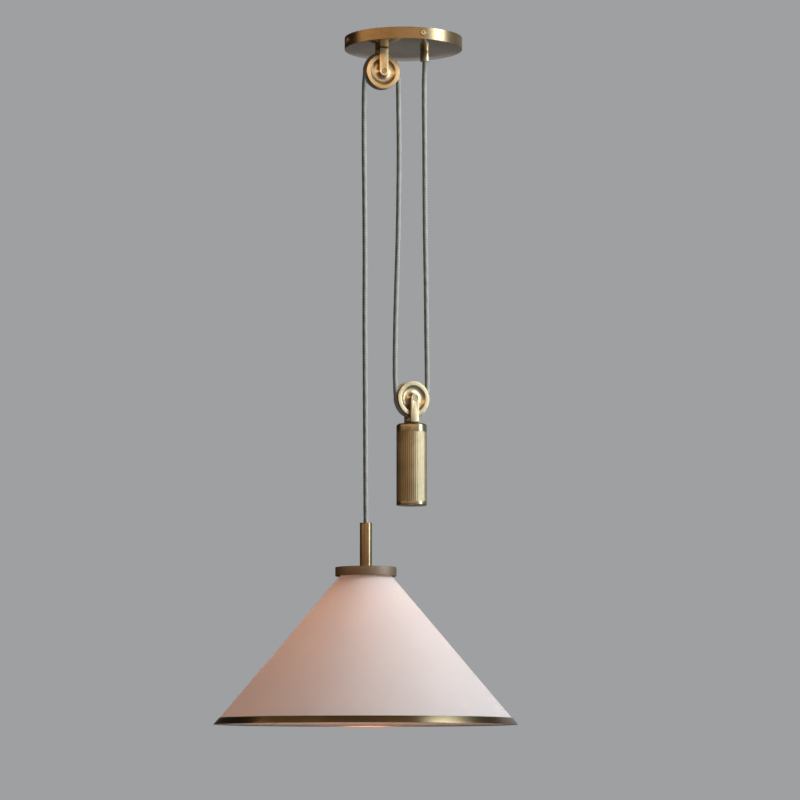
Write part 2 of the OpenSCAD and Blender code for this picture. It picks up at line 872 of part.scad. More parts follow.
module holder_cores() {
    top = -stem_top_drop - cord_in_stem_l;
    bottom = insert_bottom + insert_h;
    color(core_colour) for (i = [0:pole_count - 1])
        on_shade_axis(bottom) rotate([0, 0, i * 360 / pole_count])
            translate([core_spread, 0, 0]) cylinder(d = core_d, h = top - bottom);
}

module nipple() {
    top = stem_bottom_z + bottom_bush_h - 1;
    bottom = holder_top - boss_h - 2;
    color(steel) on_shade_axis(bottom) tube(nipple_d, nipple_bore, top - bottom);
}

module nipple_nuts() {
    color(steel) {
        on_shade_axis(cap_plate_z - nut_h) hex_nut(nut_af, nipple_d + thread_gap, nut_h);
        on_shade_axis(hub_top_z) hex_nut(nut_af, nipple_d + thread_gap, nut_h);
    }
}

module shade_cap() {
    edge = 0.6;
    r = cap_d / 2;
    color(brass) on_shade_axis(0) difference() {
        rotate_extrude(convexity = 4) polygon(concat(
            [[0, stem_bottom_z]],
            arc([r - edge, stem_bottom_z - edge], edge, 90, 0, 6),
            [[r, cap_bottom_z], [r - cap_wall, cap_bottom_z], [r - cap_wall, cap_plate_z],
                [0, cap_plate_z]]));
        translate([0, 0, cap_plate_z - over])
            cylinder(d = nipple_d + 2 * slip_gap, h = cap_wall + 2 * over);
    }
}

// Wire ring inside the shade's top edge, with three arms from a hub on the nipple
module shade_carrier() {
    color(steel) on_shade_axis(0) {
        rotate_extrude() translate([carrier_r, carrier_z]) circle(d = ring_wire_d, $fn = 32);
        translate([0, 0, hub_bottom_z]) difference() {
            union() {
                cylinder(r = hub_r, h = hub_t);
                for (i = [0:arm_count - 1])
                    rotate([0, 0, 90 + i * 360 / arm_count])
                        translate([0, -arm_w / 2, 0]) cube([carrier_r, arm_w, hub_t]);
            }
            translate([0, 0, -over]) cylinder(d = nipple_d + 2 * slip_gap, h = hub_t + 2 * over);
        }
    }
}

module shade_cone() {
    color(linen) on_shade_axis(0) rotate_extrude(convexity = 4, $fn = 180) polygon([
        [fabric_r(shade_top_z) - fabric_w, shade_top_z], [fabric_r(shade_top_z), shade_top_z],
        [fabric_r(fabric_bottom_z), fabric_bottom_z],
        [fabric_r(fabric_bottom_z) - fabric_w, fabric_bottom_z]]);
}

// Strip round the outside of the rim, with a lip turned in under the linen
module shade_rim_band() {
    band_w = rim_t * skew;
    top = rim_z + rim_h;
    color(brass) on_shade_axis(0) rotate_extrude(convexity = 4, $fn = 180) polygon([
        [fabric_r(top) + rim_gap, top], [fabric_r(top) + rim_gap + band_w, top],
        [fabric_r(rim_z) + rim_gap + band_w, rim_z],
        [fabric_r(fabric_bottom_z) - fabric_w, rim_z],
        [fabric_r(fabric_bottom_z) - fabric_w, fabric_bottom_z],
        [fabric_r(fabric_bottom_z) + rim_gap, fabric_bottom_z]]);
}

// ---- Lampholder and bulb ----

module holder_cap() {
    shoulder_z = holder_top - boss_h - shoulder_h;
    wide = holder_r - boss_r;
    bore_r = (nipple_d + thread_gap) / 2;
    color(brass) on_shade_axis(0) rotate_extrude(convexity = 4) polygon(concat(
        [[bore_r, holder_top], [boss_r, holder_top], [boss_r, holder_top - boss_h]],
        [for (a = [0:15:90]) [boss_r + wide * sin(a), shoulder_z + shoulder_h * cos(a)]],
        [[holder_r, holder_split], [holder_r - holder_wall, holder_split]],
        [for (a = [90:-15:0]) [boss_r - holder_wall + wide * sin(a),
            shoulder_z + (shoulder_h - holder_wall) * cos(a)]],
        [[bore_r, shoulder_z + shoulder_h - holder_wall]]));
}

module holder_insert() {
    wire_way = core_d + 1;
    color(ceramic_white) on_shade_axis(insert_bottom) difference() {
        cylinder(r = holder_r - holder_wall - slip_gap, h = insert_h - slip_gap);
        for (i = [0:pole_count - 1])
            rotate([0, 0, 60 + i * 360 / pole_count])
                translate([holder_r / 2, 0, -over]) cylinder(d = wire_way, h = insert_h + 2 * over);
    }
}

module holder_screw_shell() {
    flange_r = shell_r + shell_wall + 1.2;
    color(contact_brass) on_shade_axis(0) rotate_extrude(convexity = 4) polygon([
        [shell_r - 3, insert_bottom], [flange_r, insert_bottom],
        [flange_r, insert_bottom - shell_wall], [shell_r + shell_wall, insert_bottom - shell_wall],
        [shell_r + shell_wall, insert_bottom - shell_h], [shell_r, insert_bottom - shell_h],
        [shell_r, insert_bottom - shell_wall], [shell_r - 3, insert_bottom - shell_wall]]);
}

module holder_contact() {
    color(contact_brass) on_shade_axis(0) rotate_extrude() polygon([
        [0, insert_bottom], [4.5, insert_bottom], [4.5, insert_bottom - 0.8],
        [2.5, insert_bottom - contact_h], [0, insert_bottom - contact_h]]);
}

module holder_skirt() {
    bead = 0.8;
    inner = holder_r - holder_wall;
    bottom = holder_split - holder_skirt_h;
    color(brass) on_shade_axis(0) rotate_extrude(convexity = 4) polygon(concat(
        [[inner - 1.4, insert_bottom], [inner - slip_gap, insert_bottom],
            [inner - slip_gap, holder_split]],
        arc([holder_r, holder_split - bead], bead, 90, -90, 8),
        [[holder_r, bottom], [inner - 1.4, bottom], [inner - 1.4, bottom + 0.8],
            [inner, bottom + 1.6], [inner, holder_split - 1], [inner - 1.4, holder_split - 1]]));
}

function bulb_outline(r, neck, top) =
    let (globe = [0, globe_z], shoulder = [neck, base_bottom - 2],
        foot = touch(shoulder, globe, r, -1))
    concat([[neck, top], shoulder],
        arc(globe, r, atan2(foot[1] - globe_z, foot[0]), -90, 24));

module bulb_glass() {
    top = base_bottom + 3;
    outer = bulb_outline(bulb_r, neck_r, top);
    inner = bulb_outline(bulb_r - glass_t, neck_r - glass_t, top);
    color(opal_glass) on_shade_axis(0) rotate_extrude(convexity = 6)
        polygon(concat(outer, [for (i = [len(inner) - 1:-1:0]) inner[i]]));
}

module bulb_base() {
    r = base_d / 2;
    wall = 0.4;
    pitch = 3.6;
    ridges = 4;
    depth = 0.5;
    color(steel) on_shade_axis(0) rotate_extrude(convexity = 6) polygon(concat(
        [[5, base_top], [r - 2, base_top]],
        [for (i = [0:ridges * 8]) [r - depth * (1 - cos(i * 45)) / 2,
            base_top - 2 - i * pitch / 8]],
        [[r, base_bottom], [neck_r + fit_gap, base_bottom], [neck_r + fit_gap, base_bottom + 3.1],
            [r - depth - wall, base_bottom + 3.5], [r - depth - wall, base_top - 2],
            [5, base_top - 1]]));
}

module bulb_tip() {
    color(black_plastic) on_shade_axis(0) rotate_extrude() polygon([
        [0, tip_top], [4, tip_top], [5, tip_top - 1], [10.5, base_top], [0, base_top]]);
}

canopy_shell();
mounting_plate();
canopy_side_screws();
terminal_block();
terminal_screws();
terminal_fixing_screws();
earth_screw();
cord_grip_tube();
grip_set_screw();
grip_locknut();
cord_tail();
cord_cores();
upper_yoke();
upper_yoke_bolt();
upper_yoke_nut();
upper_axle();
upper_axle_nut();
upper_spacers();
cord_over_upper_wheel();
cord_to_shade();
cord_middle_run();
cord_to_canopy();
upper_wheel();
upper_wheel_bush();
lower_yoke();
lower_yoke_bolt();
lower_axle();
lower_axle_nut();
lower_spacers();
weight_collar();
weight_top_cap();
weight_shell();
weight_ballast();
weight_bottom_cap();
cord_under_lower_wheel();
lower_wheel();
lower_wheel_bush();
stem_tube();
stem_top_bush();
stem_bottom_bush();
cord_in_stem();
cord_stop();
holder_cores();
nipple();
nipple_nuts();
shade_cap();
shade_carrier();
shade_cone();
shade_rim_band();
holder_cap();
holder_insert();
holder_screw_shell();
holder_contact();
holder_skirt();
bulb_glass();
bulb_base();
bulb_tip();
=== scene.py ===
"""Rise and fall pendant, finished for rendering.

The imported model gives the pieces, their sizes and the bodies that they ride on. This file adds
turned brass, translucent linen, braided cord, the finish of every fastener, and a small studio.
Lengths in the tables and properties are millimetres; meshes are in metres, in the model's frame.
"""

import math

import bmesh
import bpy
from mathutils import Matrix, Vector


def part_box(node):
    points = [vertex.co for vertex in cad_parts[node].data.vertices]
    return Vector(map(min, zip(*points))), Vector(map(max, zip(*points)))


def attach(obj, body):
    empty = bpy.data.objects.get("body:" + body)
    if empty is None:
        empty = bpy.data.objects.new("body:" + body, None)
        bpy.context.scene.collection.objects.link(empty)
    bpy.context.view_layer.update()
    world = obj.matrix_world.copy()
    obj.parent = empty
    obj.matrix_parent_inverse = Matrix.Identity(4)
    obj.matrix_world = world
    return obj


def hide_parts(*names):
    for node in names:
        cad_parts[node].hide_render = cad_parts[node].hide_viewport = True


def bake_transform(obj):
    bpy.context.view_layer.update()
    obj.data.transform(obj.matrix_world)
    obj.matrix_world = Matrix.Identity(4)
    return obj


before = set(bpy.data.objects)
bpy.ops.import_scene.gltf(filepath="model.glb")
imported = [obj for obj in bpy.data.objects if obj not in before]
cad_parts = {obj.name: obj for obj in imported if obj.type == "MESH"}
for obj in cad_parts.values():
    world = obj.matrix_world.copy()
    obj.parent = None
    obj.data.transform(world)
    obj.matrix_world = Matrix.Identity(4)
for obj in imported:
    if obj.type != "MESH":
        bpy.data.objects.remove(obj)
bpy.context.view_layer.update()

bl_info = {
    "name": "Rise and Fall Pendant",
    "version": (1, 0, 0),
    "blender": (4, 5, 0),
    "location": "3D View > Sidebar > Pendant",
    "description": "Turned brass, linen and braided cord for a rise and fall pendant",
    "category": "Object",
}

MM = 0.001
UV_NAME = "finish"
FINISH_PREFIX = "pendant_"


def middle(node):
    """Centre of a CAD node's box, in millimetres."""
    low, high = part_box(node)
    return (low + high) / 2 / MM


def top_of(node):
    """Height of a CAD node's highest point, in millimetres."""
    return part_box(node)[1].z / MM


def bottom_of(node):
    """Height of a CAD node's lowest point, in millimetres."""
    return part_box(node)[0].z / MM


def radius_of(node):
    """Half of a CAD node's size along X, in millimetres."""
    low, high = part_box(node)
    return (high.x - low.x) / 2 / MM


# Places that several pieces share
UPPER_AXLE = middle("upper_wheel")
LOWER_AXLE = middle("lower_wheel")
GRIP = middle("cord_grip_tube")
STEM = middle("stem_tube")
LOWER_FOOT = Vector((LOWER_AXLE.x, LOWER_AXLE.y, 0))
STEM_FOOT = Vector((STEM.x, STEM.y, 0))
WHEEL_R = (top_of("upper_wheel") - bottom_of("upper_wheel")) / 2
CORD_R = radius_of("cord_tail")
# Turn of the counterweight and its wheel about the vertical
LOWER_TURN = math.radians(8)
# Turn of the shade's back, where its linen meets, from +X
BACK_TURN = math.radians(71)


# ---- Sizes and colours that a user would change ----

def mm_property(name, description, default, low, high):
    return bpy.props.FloatProperty(
        name=name, description=description + ", in mm", default=default, min=low, max=high)


def angle_property(name, description, degrees):
    return bpy.props.FloatProperty(
        name=name, description=description, default=math.radians(degrees), subtype="ANGLE")


def power_property(name, description, watts):
    return bpy.props.FloatProperty(name=name, description=description, default=watts, min=0, unit="POWER")


class PendantSizes(bpy.types.PropertyGroup):
    """Small sizes that only the finish needs."""

    braid_strands: bpy.props.IntProperty(
        name="Braid strands", description="Diamonds of the braid round the cord", default=12, min=6, max=24)
    braid_pitch: mm_property("Braid pitch", "Length of one diamond of the braid", 2.2, 1, 10)
    braid_relief: mm_property("Braid relief", "Depth between two strands of the braid", 0.12, 0, 0.6)
    core_lay: mm_property("Core lay", "Length in which the wires inside the cord twist once", 64, 20, 200)
    core_relief: mm_property("Core relief", "How far the twisted wires show through the braid", 0.16, 0, 0.5)
    thread_pitch: mm_property("Thread pitch", "Distance between two linen threads", 0.55, 0.2, 2)
    seam_width: mm_property("Seam width", "Width of the linen's overlap at the back", 9, 4, 20)
    edge_round: mm_property("Edge round", "Rounding of filed edges on flat pieces", 0.3, 0.05, 1)


def colour_property(name, description, default):
    return bpy.props.FloatVectorProperty(
        name=name, description=description, subtype="COLOR", size=3, min=0, max=1, default=default)


class PendantColours(bpy.types.PropertyGroup):
    """Base colours of the finishes."""

    satin_brass: colour_property("Satin brass", "Turned brass of canopy, stem and rim", (0.60, 0.44, 0.25))
    # Painted shade: the counterweight's colour is the brass darkened to about half, for the shade it shows.
    shaded_weight_brass: colour_property("Weight brass", "Deeper brass of the counterweight", (0.36, 0.29, 0.18))
    pale_brass: colour_property("Pale brass", "Paler brass of wheels, grip, lower yoke", (0.45, 0.36, 0.23))
    # Painted shade: the disc's colour is the brass darkened for the shade it sits in, not brass that has
    # aged.
    cap_shade_colour: colour_property("Aged brass", "Darker brass of the disc on the shade", (0.24, 0.18, 0.13))
    cord_light: colour_property("Cord strands", "Raised strands of the braid", (0.86, 0.80, 0.72))
    # Painted shade in part: this colour fills the grooves between raised strands as their shade, and also
    # tints the yarn stripes.
    cord_tone_and_groove_shade: colour_property("Cord grooves", "Shadowed side of the braid's strands", (0.30, 0.26, 0.22))
    linen: colour_property("Linen", "Undyed linen of the shade", (0.90, 0.915, 0.92))
    glow: colour_property("Lamp light", "Light of the lit bulb", (1.0, 0.41, 0.2))
    backdrop: colour_property("Backdrop", "Backdrop, and what metal mirrors of it", (0.345, 0.35, 0.36))
    floor: colour_property("Floor", "Plain pale floor", (0.74, 0.73, 0.71))


class PendantStudio(bpy.types.PropertyGroup):
    """Camera and light."""

    lens: bpy.props.FloatProperty(
        name="Lens", description="Focal length", default=164.25, min=20, max=400, unit="CAMERA")
    view_azimuth: angle_property("View azimuth", "Turn of the camera round the pendant", -19)
    view_distance: bpy.props.FloatProperty(
        name="View distance", description="Distance from the camera to the pendant's axis",
        default=4.893, min=1, unit="LENGTH")
    view_side: bpy.props.FloatProperty(
        name="View side step", description="Step of the camera to its left", default=0.00456, unit="LENGTH")
    view_drop: bpy.props.FloatProperty(
        name="View drop", description="How far the camera is below the ceiling",
        default=1.0005, unit="LENGTH")
    view_tilt: angle_property("View tilt", "Upward tilt of the camera", 5.9)
    key_power: power_property("Key power", "Power of the window light", 88)
    key_angle: angle_property("Key angle", "Turn of the window light from the camera, to the right", 74)
    key_lift: angle_property("Key lift", "How steeply the window light shines down", 24)
    bulb_power: power_property("Bulb power", "Power of the light in the shade", 1)
    ambient: bpy.props.FloatProperty(
        name="Ambient", description="Level of the room's scattered light", default=0.022, min=0, max=1)


# ---- Materials ----

def add_node(tree, kind, inputs=None, **settings):
    """Adds a shader node; an input is a value or another node's output."""
    node = tree.nodes.new(kind)
    for key, value in settings.items():
        setattr(node, key, value)
    for key, value in (inputs or {}).items():
        if isinstance(value, bpy.types.NodeSocket):
            tree.links.new(value, node.inputs[key])
        else:
            node.inputs[key].default_value = value
    return node


def maths(tree, operation, a, b=0.0):
    """Output of a Math node; a and b are values or outputs."""
    return add_node(tree, "ShaderNodeMath", {0: a, 1: b}, operation=operation).outputs[0]


def colour_mix(tree, share, a, b, blend="MIX"):
    """Blend of two colours; share, a and b are values or outputs."""
    mix = add_node(tree, "ShaderNodeMix", data_type="RGBA", blend_type=blend)
    sockets = {0: share, 6: a, 7: b}
    for index, value in sockets.items():
        if isinstance(value, bpy.types.NodeSocket):
            tree.links.new(value, mix.inputs[index])
        else:
            mix.inputs[index].default_value = value if index == 0 else (*value, 1)
    return mix.outputs[2]


def stretched_noise(tree, vector, scales, detail=3.0, roughness=0.5):
    """Noise with its own scale along each axis; scales are lumps per metre."""
    mapping = add_node(tree, "ShaderNodeMapping", {"Vector": vector, "Scale": scales})
    noise = add_node(tree, "ShaderNodeTexNoise", {
        "Vector": mapping.outputs[0], "Scale": 1.0, "Detail": detail, "Roughness": roughness})
    return noise.outputs[0]


def remap(tree, value, low, high, from_low=0.3, from_high=0.7):
    """Value rescaled from one range to another and held inside it; noise mostly lies in 0.3 to 0.7."""
    ramp = add_node(tree, "ShaderNodeMapRange", {
        0: value, 1: from_low, 2: from_high, 3: low, 4: high}, clamp=True)
    return ramp.outputs[0]


def new_material(name):
    """Empty material with one Principled shader; returns material, tree and shader."""
    material = bpy.data.materials.new(FINISH_PREFIX + name)
    material.use_nodes = True
    tree = material.node_tree
    shader = tree.nodes["Principled BSDF"]
    return material, tree, shader


def object_place(tree):
    return add_node(tree, "ShaderNodeTexCoord").outputs["Object"]


def bump(tree, height, strength, distance):
    """Normal from a height; distance is in millimetres."""
    node = add_node(tree, "ShaderNodeBump", {
        "Height": height, "Strength": strength, "Distance": distance * MM})
    return node.outputs[0]


def shade_of(colour, factor):
    """The colour made darker, or lighter where the factor is over 1."""
    return tuple(min(1.0, part * factor) for part in colour)


def brass(name, colour, roughness, lines=0.35, streak=0.5, turned=True, brushed=0.9):
    """Brushed brass. On turned pieces the lines follow U of the finish map.

    Lines and streak are the marks' depth and tint; brushed is how far they stretch the gloss."""
    material, tree, shader = new_material(name)
    place = object_place(tree)
    patina = remap(tree, stretched_noise(tree, place, (28, 28, 28), 4), 0.0, 1.0)
    spots = remap(tree, stretched_noise(tree, place, (170, 170, 170), 3), 0.0, 0.5, 0.5, 0.75)
    if turned:
        along = add_node(tree, "ShaderNodeUVMap", uv_map=UV_NAME).outputs[0]
        fine = stretched_noise(tree, along, (45, 6500, 1), 2)
        broad = stretched_noise(tree, along, (12, 900, 1), 2)
        tangent = add_node(tree, "ShaderNodeTangent", direction_type="UV_MAP", uv_map=UV_NAME)
        tree.links.new(tangent.outputs[0], shader.inputs["Tangent"])
        shader.inputs["Anisotropic"].default_value = brushed
        shader.inputs["Anisotropic Rotation"].default_value = 0.25
    else:
        fine = stretched_noise(tree, place, (5200, 5200, 90), 2)
        broad = stretched_noise(tree, place, (700, 700, 30), 2)
    worn = colour_mix(tree, patina, shade_of(colour, 0.86), shade_of(colour, 1.05))
    marked = colour_mix(tree, spots, worn, shade_of(colour, 0.72))
    lined = colour_mix(tree, remap(tree, broad, 0.0, streak), marked, shade_of(colour, 0.9))
    tree.links.new(lined, shader.inputs["Base Color"])
    uneven = maths(tree, "MULTIPLY", maths(tree, "SUBTRACT", patina, 0.5), 0.07)
    rough = maths(tree, "ADD", maths(tree, "ADD", roughness, uneven), remap(tree, broad, -0.03, 0.03))
    tree.links.new(rough, shader.inputs["Roughness"])
    tree.links.new(bump(tree, fine, lines, 0.02), shader.inputs["Normal"])
    shader.inputs["Metallic"].default_value = 1.0
    return material


def plain_metal(name, colour, roughness, grain=900):
    """Machined or plated metal of small parts: fine tool marks and a slightly uneven gloss."""
    material, tree, shader = new_material(name)
    place = object_place(tree)
    cloud = stretched_noise(tree, place, (90, 90, 90), 4)
    marks = stretched_noise(tree, place, (grain, grain, grain * 3), 2)
    tinted = colour_mix(tree, remap(tree, cloud, 0, 1), shade_of(colour, 0.8), shade_of(colour, 1.08))
    tree.links.new(tinted, shader.inputs["Base Color"])
    tree.links.new(remap(tree, cloud, roughness - 0.05, roughness + 0.07), shader.inputs["Roughness"])
    tree.links.new(bump(tree, marks, 0.25, 0.02), shader.inputs["Normal"])
    shader.inputs["Metallic"].default_value = 1.0
    return material


def moulded(name, colour, roughness, speckle=0.06, coat=0.0):
    """Ceramic or moulded plastic: faint speckle and a soft uneven surface."""
    material, tree, shader = new_material(name)
    place = object_place(tree)
    fleck = stretched_noise(tree, place, (1400, 1400, 1400), 2)
    wave = stretched_noise(tree, place, (120, 120, 120), 3)
    tinted = colour_mix(tree, remap(tree, fleck, 0, 1), shade_of(colour, 1 - speckle), colour)
    tree.links.new(tinted, shader.inputs["Base Color"])
    tree.links.new(remap(tree, wave, roughness - 0.06, roughness + 0.06), shader.inputs["Roughness"])
    tree.links.new(bump(tree, wave, 0.2, 0.05), shader.inputs["Normal"])
    shader.inputs["Coat Weight"].default_value = coat
    shader.inputs["Coat Roughness"].default_value = 0.12
    return material


# Yarns side by side in one strand of the braid
YARNS_PER_STRAND = 2.5
# How far a linen thread wanders from its straight line, in radians; a full turn is one pitch
THREAD_WANDER = 5


def braid_cloth(name, light, dark, sizes):
    """Woven sleeve of the cord. U and V of the finish map are metres round and along it."""
    material, tree, shader = new_material(name)
    along = add_node(tree, "ShaderNodeUVMap", uv_map=UV_NAME).outputs[0]
    parts = add_node(tree, "ShaderNodeSeparateXYZ", {0: along}).outputs
    round_turn = maths(tree, "MULTIPLY", parts[0], sizes.braid_strands / (CORD_R * MM))
    down_turn = maths(tree, "MULTIPLY", parts[1], 2 * math.pi / (sizes.braid_pitch * MM))
    waves = maths(tree, "ADD", maths(tree, "COSINE", round_turn), maths(tree, "COSINE", down_turn))
    raised = remap(tree, waves, 0.0, 1.0, -1.6, 1.4)
    both_turns = [maths(tree, "MULTIPLY", turn, YARNS_PER_STRAND) for turn in (round_turn, down_turn)]
    yarn = remap(tree, maths(tree, "COSINE", maths(tree, "ADD", *both_turns)), 0.0, 1.0, -1, 1)
    fibre = stretched_noise(tree, along, (2400, 1500, 1), 4, 0.7)
    drift = stretched_noise(tree, along, (60, 45, 1), 3)
    strand = colour_mix(tree, remap(tree, drift, 0, 1), shade_of(light, 0.86), shade_of(light, 1.1))
    spun = colour_mix(tree, maths(tree, "MULTIPLY", yarn, 0.3), strand, dark)
    # Painted shade: the grooves between raised strands take the dark colour.
    cloth = colour_mix(tree, raised, dark, spun)
    hairy = colour_mix(tree, remap(tree, fibre, 0.0, 0.45), cloth, shade_of(light, 0.5))
    tree.links.new(hairy, shader.inputs["Base Color"])
    height = maths(tree, "ADD", maths(tree, "MULTIPLY", yarn, 0.5), fibre)
    tree.links.new(bump(tree, height, 0.6, 0.08), shader.inputs["Normal"])
    shader.inputs["Roughness"].default_value = 0.72
    shader.inputs["Sheen Weight"].default_value = 0.35
    shader.inputs["Sheen Roughness"].default_value = 0.4
    return material


def insulation(name):
    """Smooth brown sleeves of the wires."""
    material, tree, shader = new_material(name)
    place = object_place(tree)
    bands = stretched_noise(tree, place, (260, 260, 260), 1)
    tinted = colour_mix(tree, remap(tree, bands, 0, 1), (0.30, 0.15, 0.07), (0.36, 0.19, 0.09))
    tree.links.new(tinted, shader.inputs["Base Color"])
    tree.links.new(remap(tree, bands, 0.3, 0.42), shader.inputs["Roughness"])
    return material


def linen_cloth(name, colour, sizes, through=0.5):
    """Linen that lets the bulb's light through. The finish map is the flat cut, in metres."""
    material, tree, shader = new_material(name)
    along = add_node(tree, "ShaderNodeUVMap", uv_map=UV_NAME).outputs[0]
    parts = add_node(tree, "ShaderNodeSeparateXYZ", {0: along}).outputs
    turn = 2 * math.pi / (sizes.thread_pitch * MM)
    weft_drift = stretched_noise(tree, along, (35, 350, 1), 2)
    warp_drift = stretched_noise(tree, along, (350, 35, 1), 2)
    waves = []
    for part, drift in ((parts[0], warp_drift), (parts[1], weft_drift)):
        wander = maths(tree, "MULTIPLY", drift, THREAD_WANDER)
        waves.append(maths(tree, "SINE", maths(tree, "ADD", maths(tree, "MULTIPLY", part, turn), wander)))
    weave = maths(tree, "MULTIPLY", *waves)
    warp_slub = stretched_noise(tree, along, (1500, 45, 1), 3, 0.6)
    weft_slub = stretched_noise(tree, along, (45, 1500, 1), 3, 0.6)
    slub = maths(tree, "ADD", remap(tree, warp_slub, 0, 0.5), remap(tree, weft_slub, 0, 0.5))
    mottle = stretched_noise(tree, along, (14, 14, 1), 4)
    base = colour_mix(tree, remap(tree, mottle, 0, 1), shade_of(colour, 0.965), colour)
    threads = colour_mix(tree, maths(tree, "MULTIPLY", slub, 0.5), base, shade_of(colour, 0.88))
    # Painted shade: the linen is darker where the weave sinks between threads.
    weave_dip_shade = colour_mix(tree, remap(tree, weave, 0.16, 0.0, -1, 0.2), threads, shade_of(colour, 0.7))
    tree.links.new(weave_dip_shade, shader.inputs["Base Color"])
    height = maths(tree, "ADD", maths(tree, "MULTIPLY", weave, 0.5), slub)
    normal = bump(tree, height, 0.35, 0.1)
    tree.links.new(normal, shader.inputs["Normal"])
    shader.inputs["Roughness"].default_value = 0.85
    shader.inputs["Specular IOR Level"].default_value = 0.25
    shader.inputs["Sheen Weight"].default_value = 0.08
    glow = add_node(tree, "ShaderNodeBsdfTranslucent", {"Color": weave_dip_shade, "Normal": normal})
    mix = add_node(tree, "ShaderNodeMixShader", {0: through, 1: shader.outputs[0], 2: glow.outputs[0]})
    tree.links.new(mix.outputs[0], tree.nodes["Material Output"].inputs["Surface"])
    return material


def opal(name, light):
    """Opal glass of a lit bulb: white body, soft gloss and a little light of its own."""
    material, tree, shader = new_material(name)
    place = object_place(tree)
    cloud = stretched_noise(tree, place, (60, 60, 60), 3)
    tinted = colour_mix(tree, remap(tree, cloud, 0, 1), (0.86, 0.85, 0.82), (0.93, 0.92, 0.90))
    tree.links.new(tinted, shader.inputs["Base Color"])
    tree.links.new(remap(tree, cloud, 0.2, 0.3), shader.inputs["Roughness"])
    warm = tuple(0.5 + 0.5 * part for part in light)
    shader.inputs["Emission Color"].default_value = (*warm, 1)
    shader.inputs["Emission Strength"].default_value = 0.35
    return material


def make_finishes(scene):
    """One material for each finish, under its name."""
    colours, sizes = scene.pendant_colours, scene.pendant_sizes
    satin, pale, weight = tuple(colours.satin_brass), tuple(colours.pale_brass), tuple(colours.shaded_weight_brass)
    light, dark = tuple(colours.cord_light), tuple(colours.cord_tone_and_groove_shade)
    return {
        # Painted shade: stem, rim and lampholder get the satin brass at half its brightness, a shaded copy
        # of the canopy's finish.
        "satin_brass": brass("satin_brass", shade_of(satin, 0.5), 0.34, brushed=0.85),
        "canopy_brass": brass("canopy_brass", satin, 0.5, brushed=0.93),
        "smooth_brass": brass(
            "smooth_brass", shade_of(satin, 0.85), 0.14, lines=0.05, streak=0.1, brushed=0.2),
        # Painted shade: the counterweight's fluted shell and caps use the darkened weight colour, a shaded
        # copy of the brass.
        "fluted_brass": brass("fluted_brass", weight, 0.36, lines=0.1, streak=0.2, brushed=0.5),
        "shaded_weight_brass": brass("shaded_weight_brass", weight, 0.34, brushed=0.6),
        # Painted light: the cord grip gets the pale brass brightened 1.6 times, a lit copy.
        "lit_grip_brass": brass("lit_grip_brass", shade_of(pale, 1.6), 0.4, brushed=0.3),
        "pale_brass": brass("pale_brass", pale, 0.38, brushed=0.5),
        # Painted light: the upper yoke gets the satin brass brightened 1.2 times, a lit copy.
        "lit_flat_brass": brass("lit_flat_brass", shade_of(satin, 1.2), 0.4, turned=False),
        # Painted shade: the lower yoke and small brass parts get the pale brass darkened to 0.8, a shaded
        # copy.
        "shaded_flat_pale_brass": brass("shaded_flat_pale_brass", shade_of(pale, 0.8), 0.42, turned=False),
        # Painted shade: the disc on the shade gets the darker cap colour, a shaded copy of the brass.
        "shaded_cap_finish": brass("shaded_cap_finish", tuple(colours.cap_shade_colour), 0.6, brushed=0.0),
        "contact_brass": plain_metal("contact_brass", (0.70, 0.55, 0.28), 0.28),
        "bronze": plain_metal("bronze", (0.47, 0.29, 0.16), 0.4),
        "zinc_steel": plain_metal("zinc_steel", (0.56, 0.56, 0.54), 0.32),
        "axle_steel": plain_metal("axle_steel", (0.40, 0.31, 0.20), 0.5),
        "bulb_metal": plain_metal("bulb_metal", (0.68, 0.68, 0.66), 0.24),
        "cord_fabric": braid_cloth("cord_fabric", light, dark, sizes),
        "wire_insulation": insulation("wire_insulation"),
        "linen": linen_cloth("linen", tuple(colours.linen), sizes),
        "white_ceramic": moulded("white_ceramic", (0.83, 0.82, 0.78), 0.3, coat=0.5),
        "opal_glass": opal("opal_glass", tuple(colours.glow)),
        "black_plastic": moulded("black_plastic", (0.018, 0.018, 0.02), 0.4, speckle=0.3),
    }


def finish_of(name):
    """Finish of that name; all of them are made on first use."""
    if FINISH_PREFIX + name not in bpy.data.materials:
        make_finishes(bpy.context.scene)
    return bpy.data.materials[FINISH_PREFIX + name]


# ---- Mesh helpers ----

# Widest step along a fillet's arc, in degrees
FILLET_STEP = 18


def keep_piece(bm, name, body, slot, finish, replaces=(), sharp=35):
    """Turns a bmesh into a finished piece that stands for CAD nodes and rides on a body, if any."""
    mesh = bpy.data.meshes.new(name)
    bm.to_mesh(mesh)
    bm.free()
    mesh.materials.append(finish_of(finish))
    mesh.shade_smooth()
    mesh.set_sharp_from_angle(angle=math.radians(sharp))
    piece = bpy.data.objects.new(name, mesh)
    bpy.context.scene.collection.objects.link(piece)
    if body:
        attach(piece, body)
    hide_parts(*replaces)
    return piece


def rounded(corners, closed=True):
    """Outline points from (radius, height, fillet) corners; a fillet becomes a short arc."""
    points = []
    count = len(corners)
    for index, corner in enumerate(corners):
        here = Vector(corner[:2])
        fillet = corner[2] if len(corner) > 2 else 0
        inner = closed or 0 < index < count - 1
        if not fillet or not inner:
            points.append(here)
            continue
        before = (Vector(corners[index - 1][:2]) - here).normalized()
        after = (Vector(corners[(index + 1) % count][:2]) - here).normalized()
        half = before.angle(after) / 2
        reach = fillet / math.tan(half)
        centre = here + (before + after).normalized() * (fillet / math.sin(half))
        start, end = here + before * reach - centre, here + after * reach - centre
        sweep = start.angle_signed(end)
        steps = max(2, math.ceil(abs(math.degrees(sweep)) / FILLET_STEP))
        for step in range(steps + 1):
            turn = Matrix.Rotation(-sweep * step / steps, 2)
            points.append(centre + turn @ start)
    return points


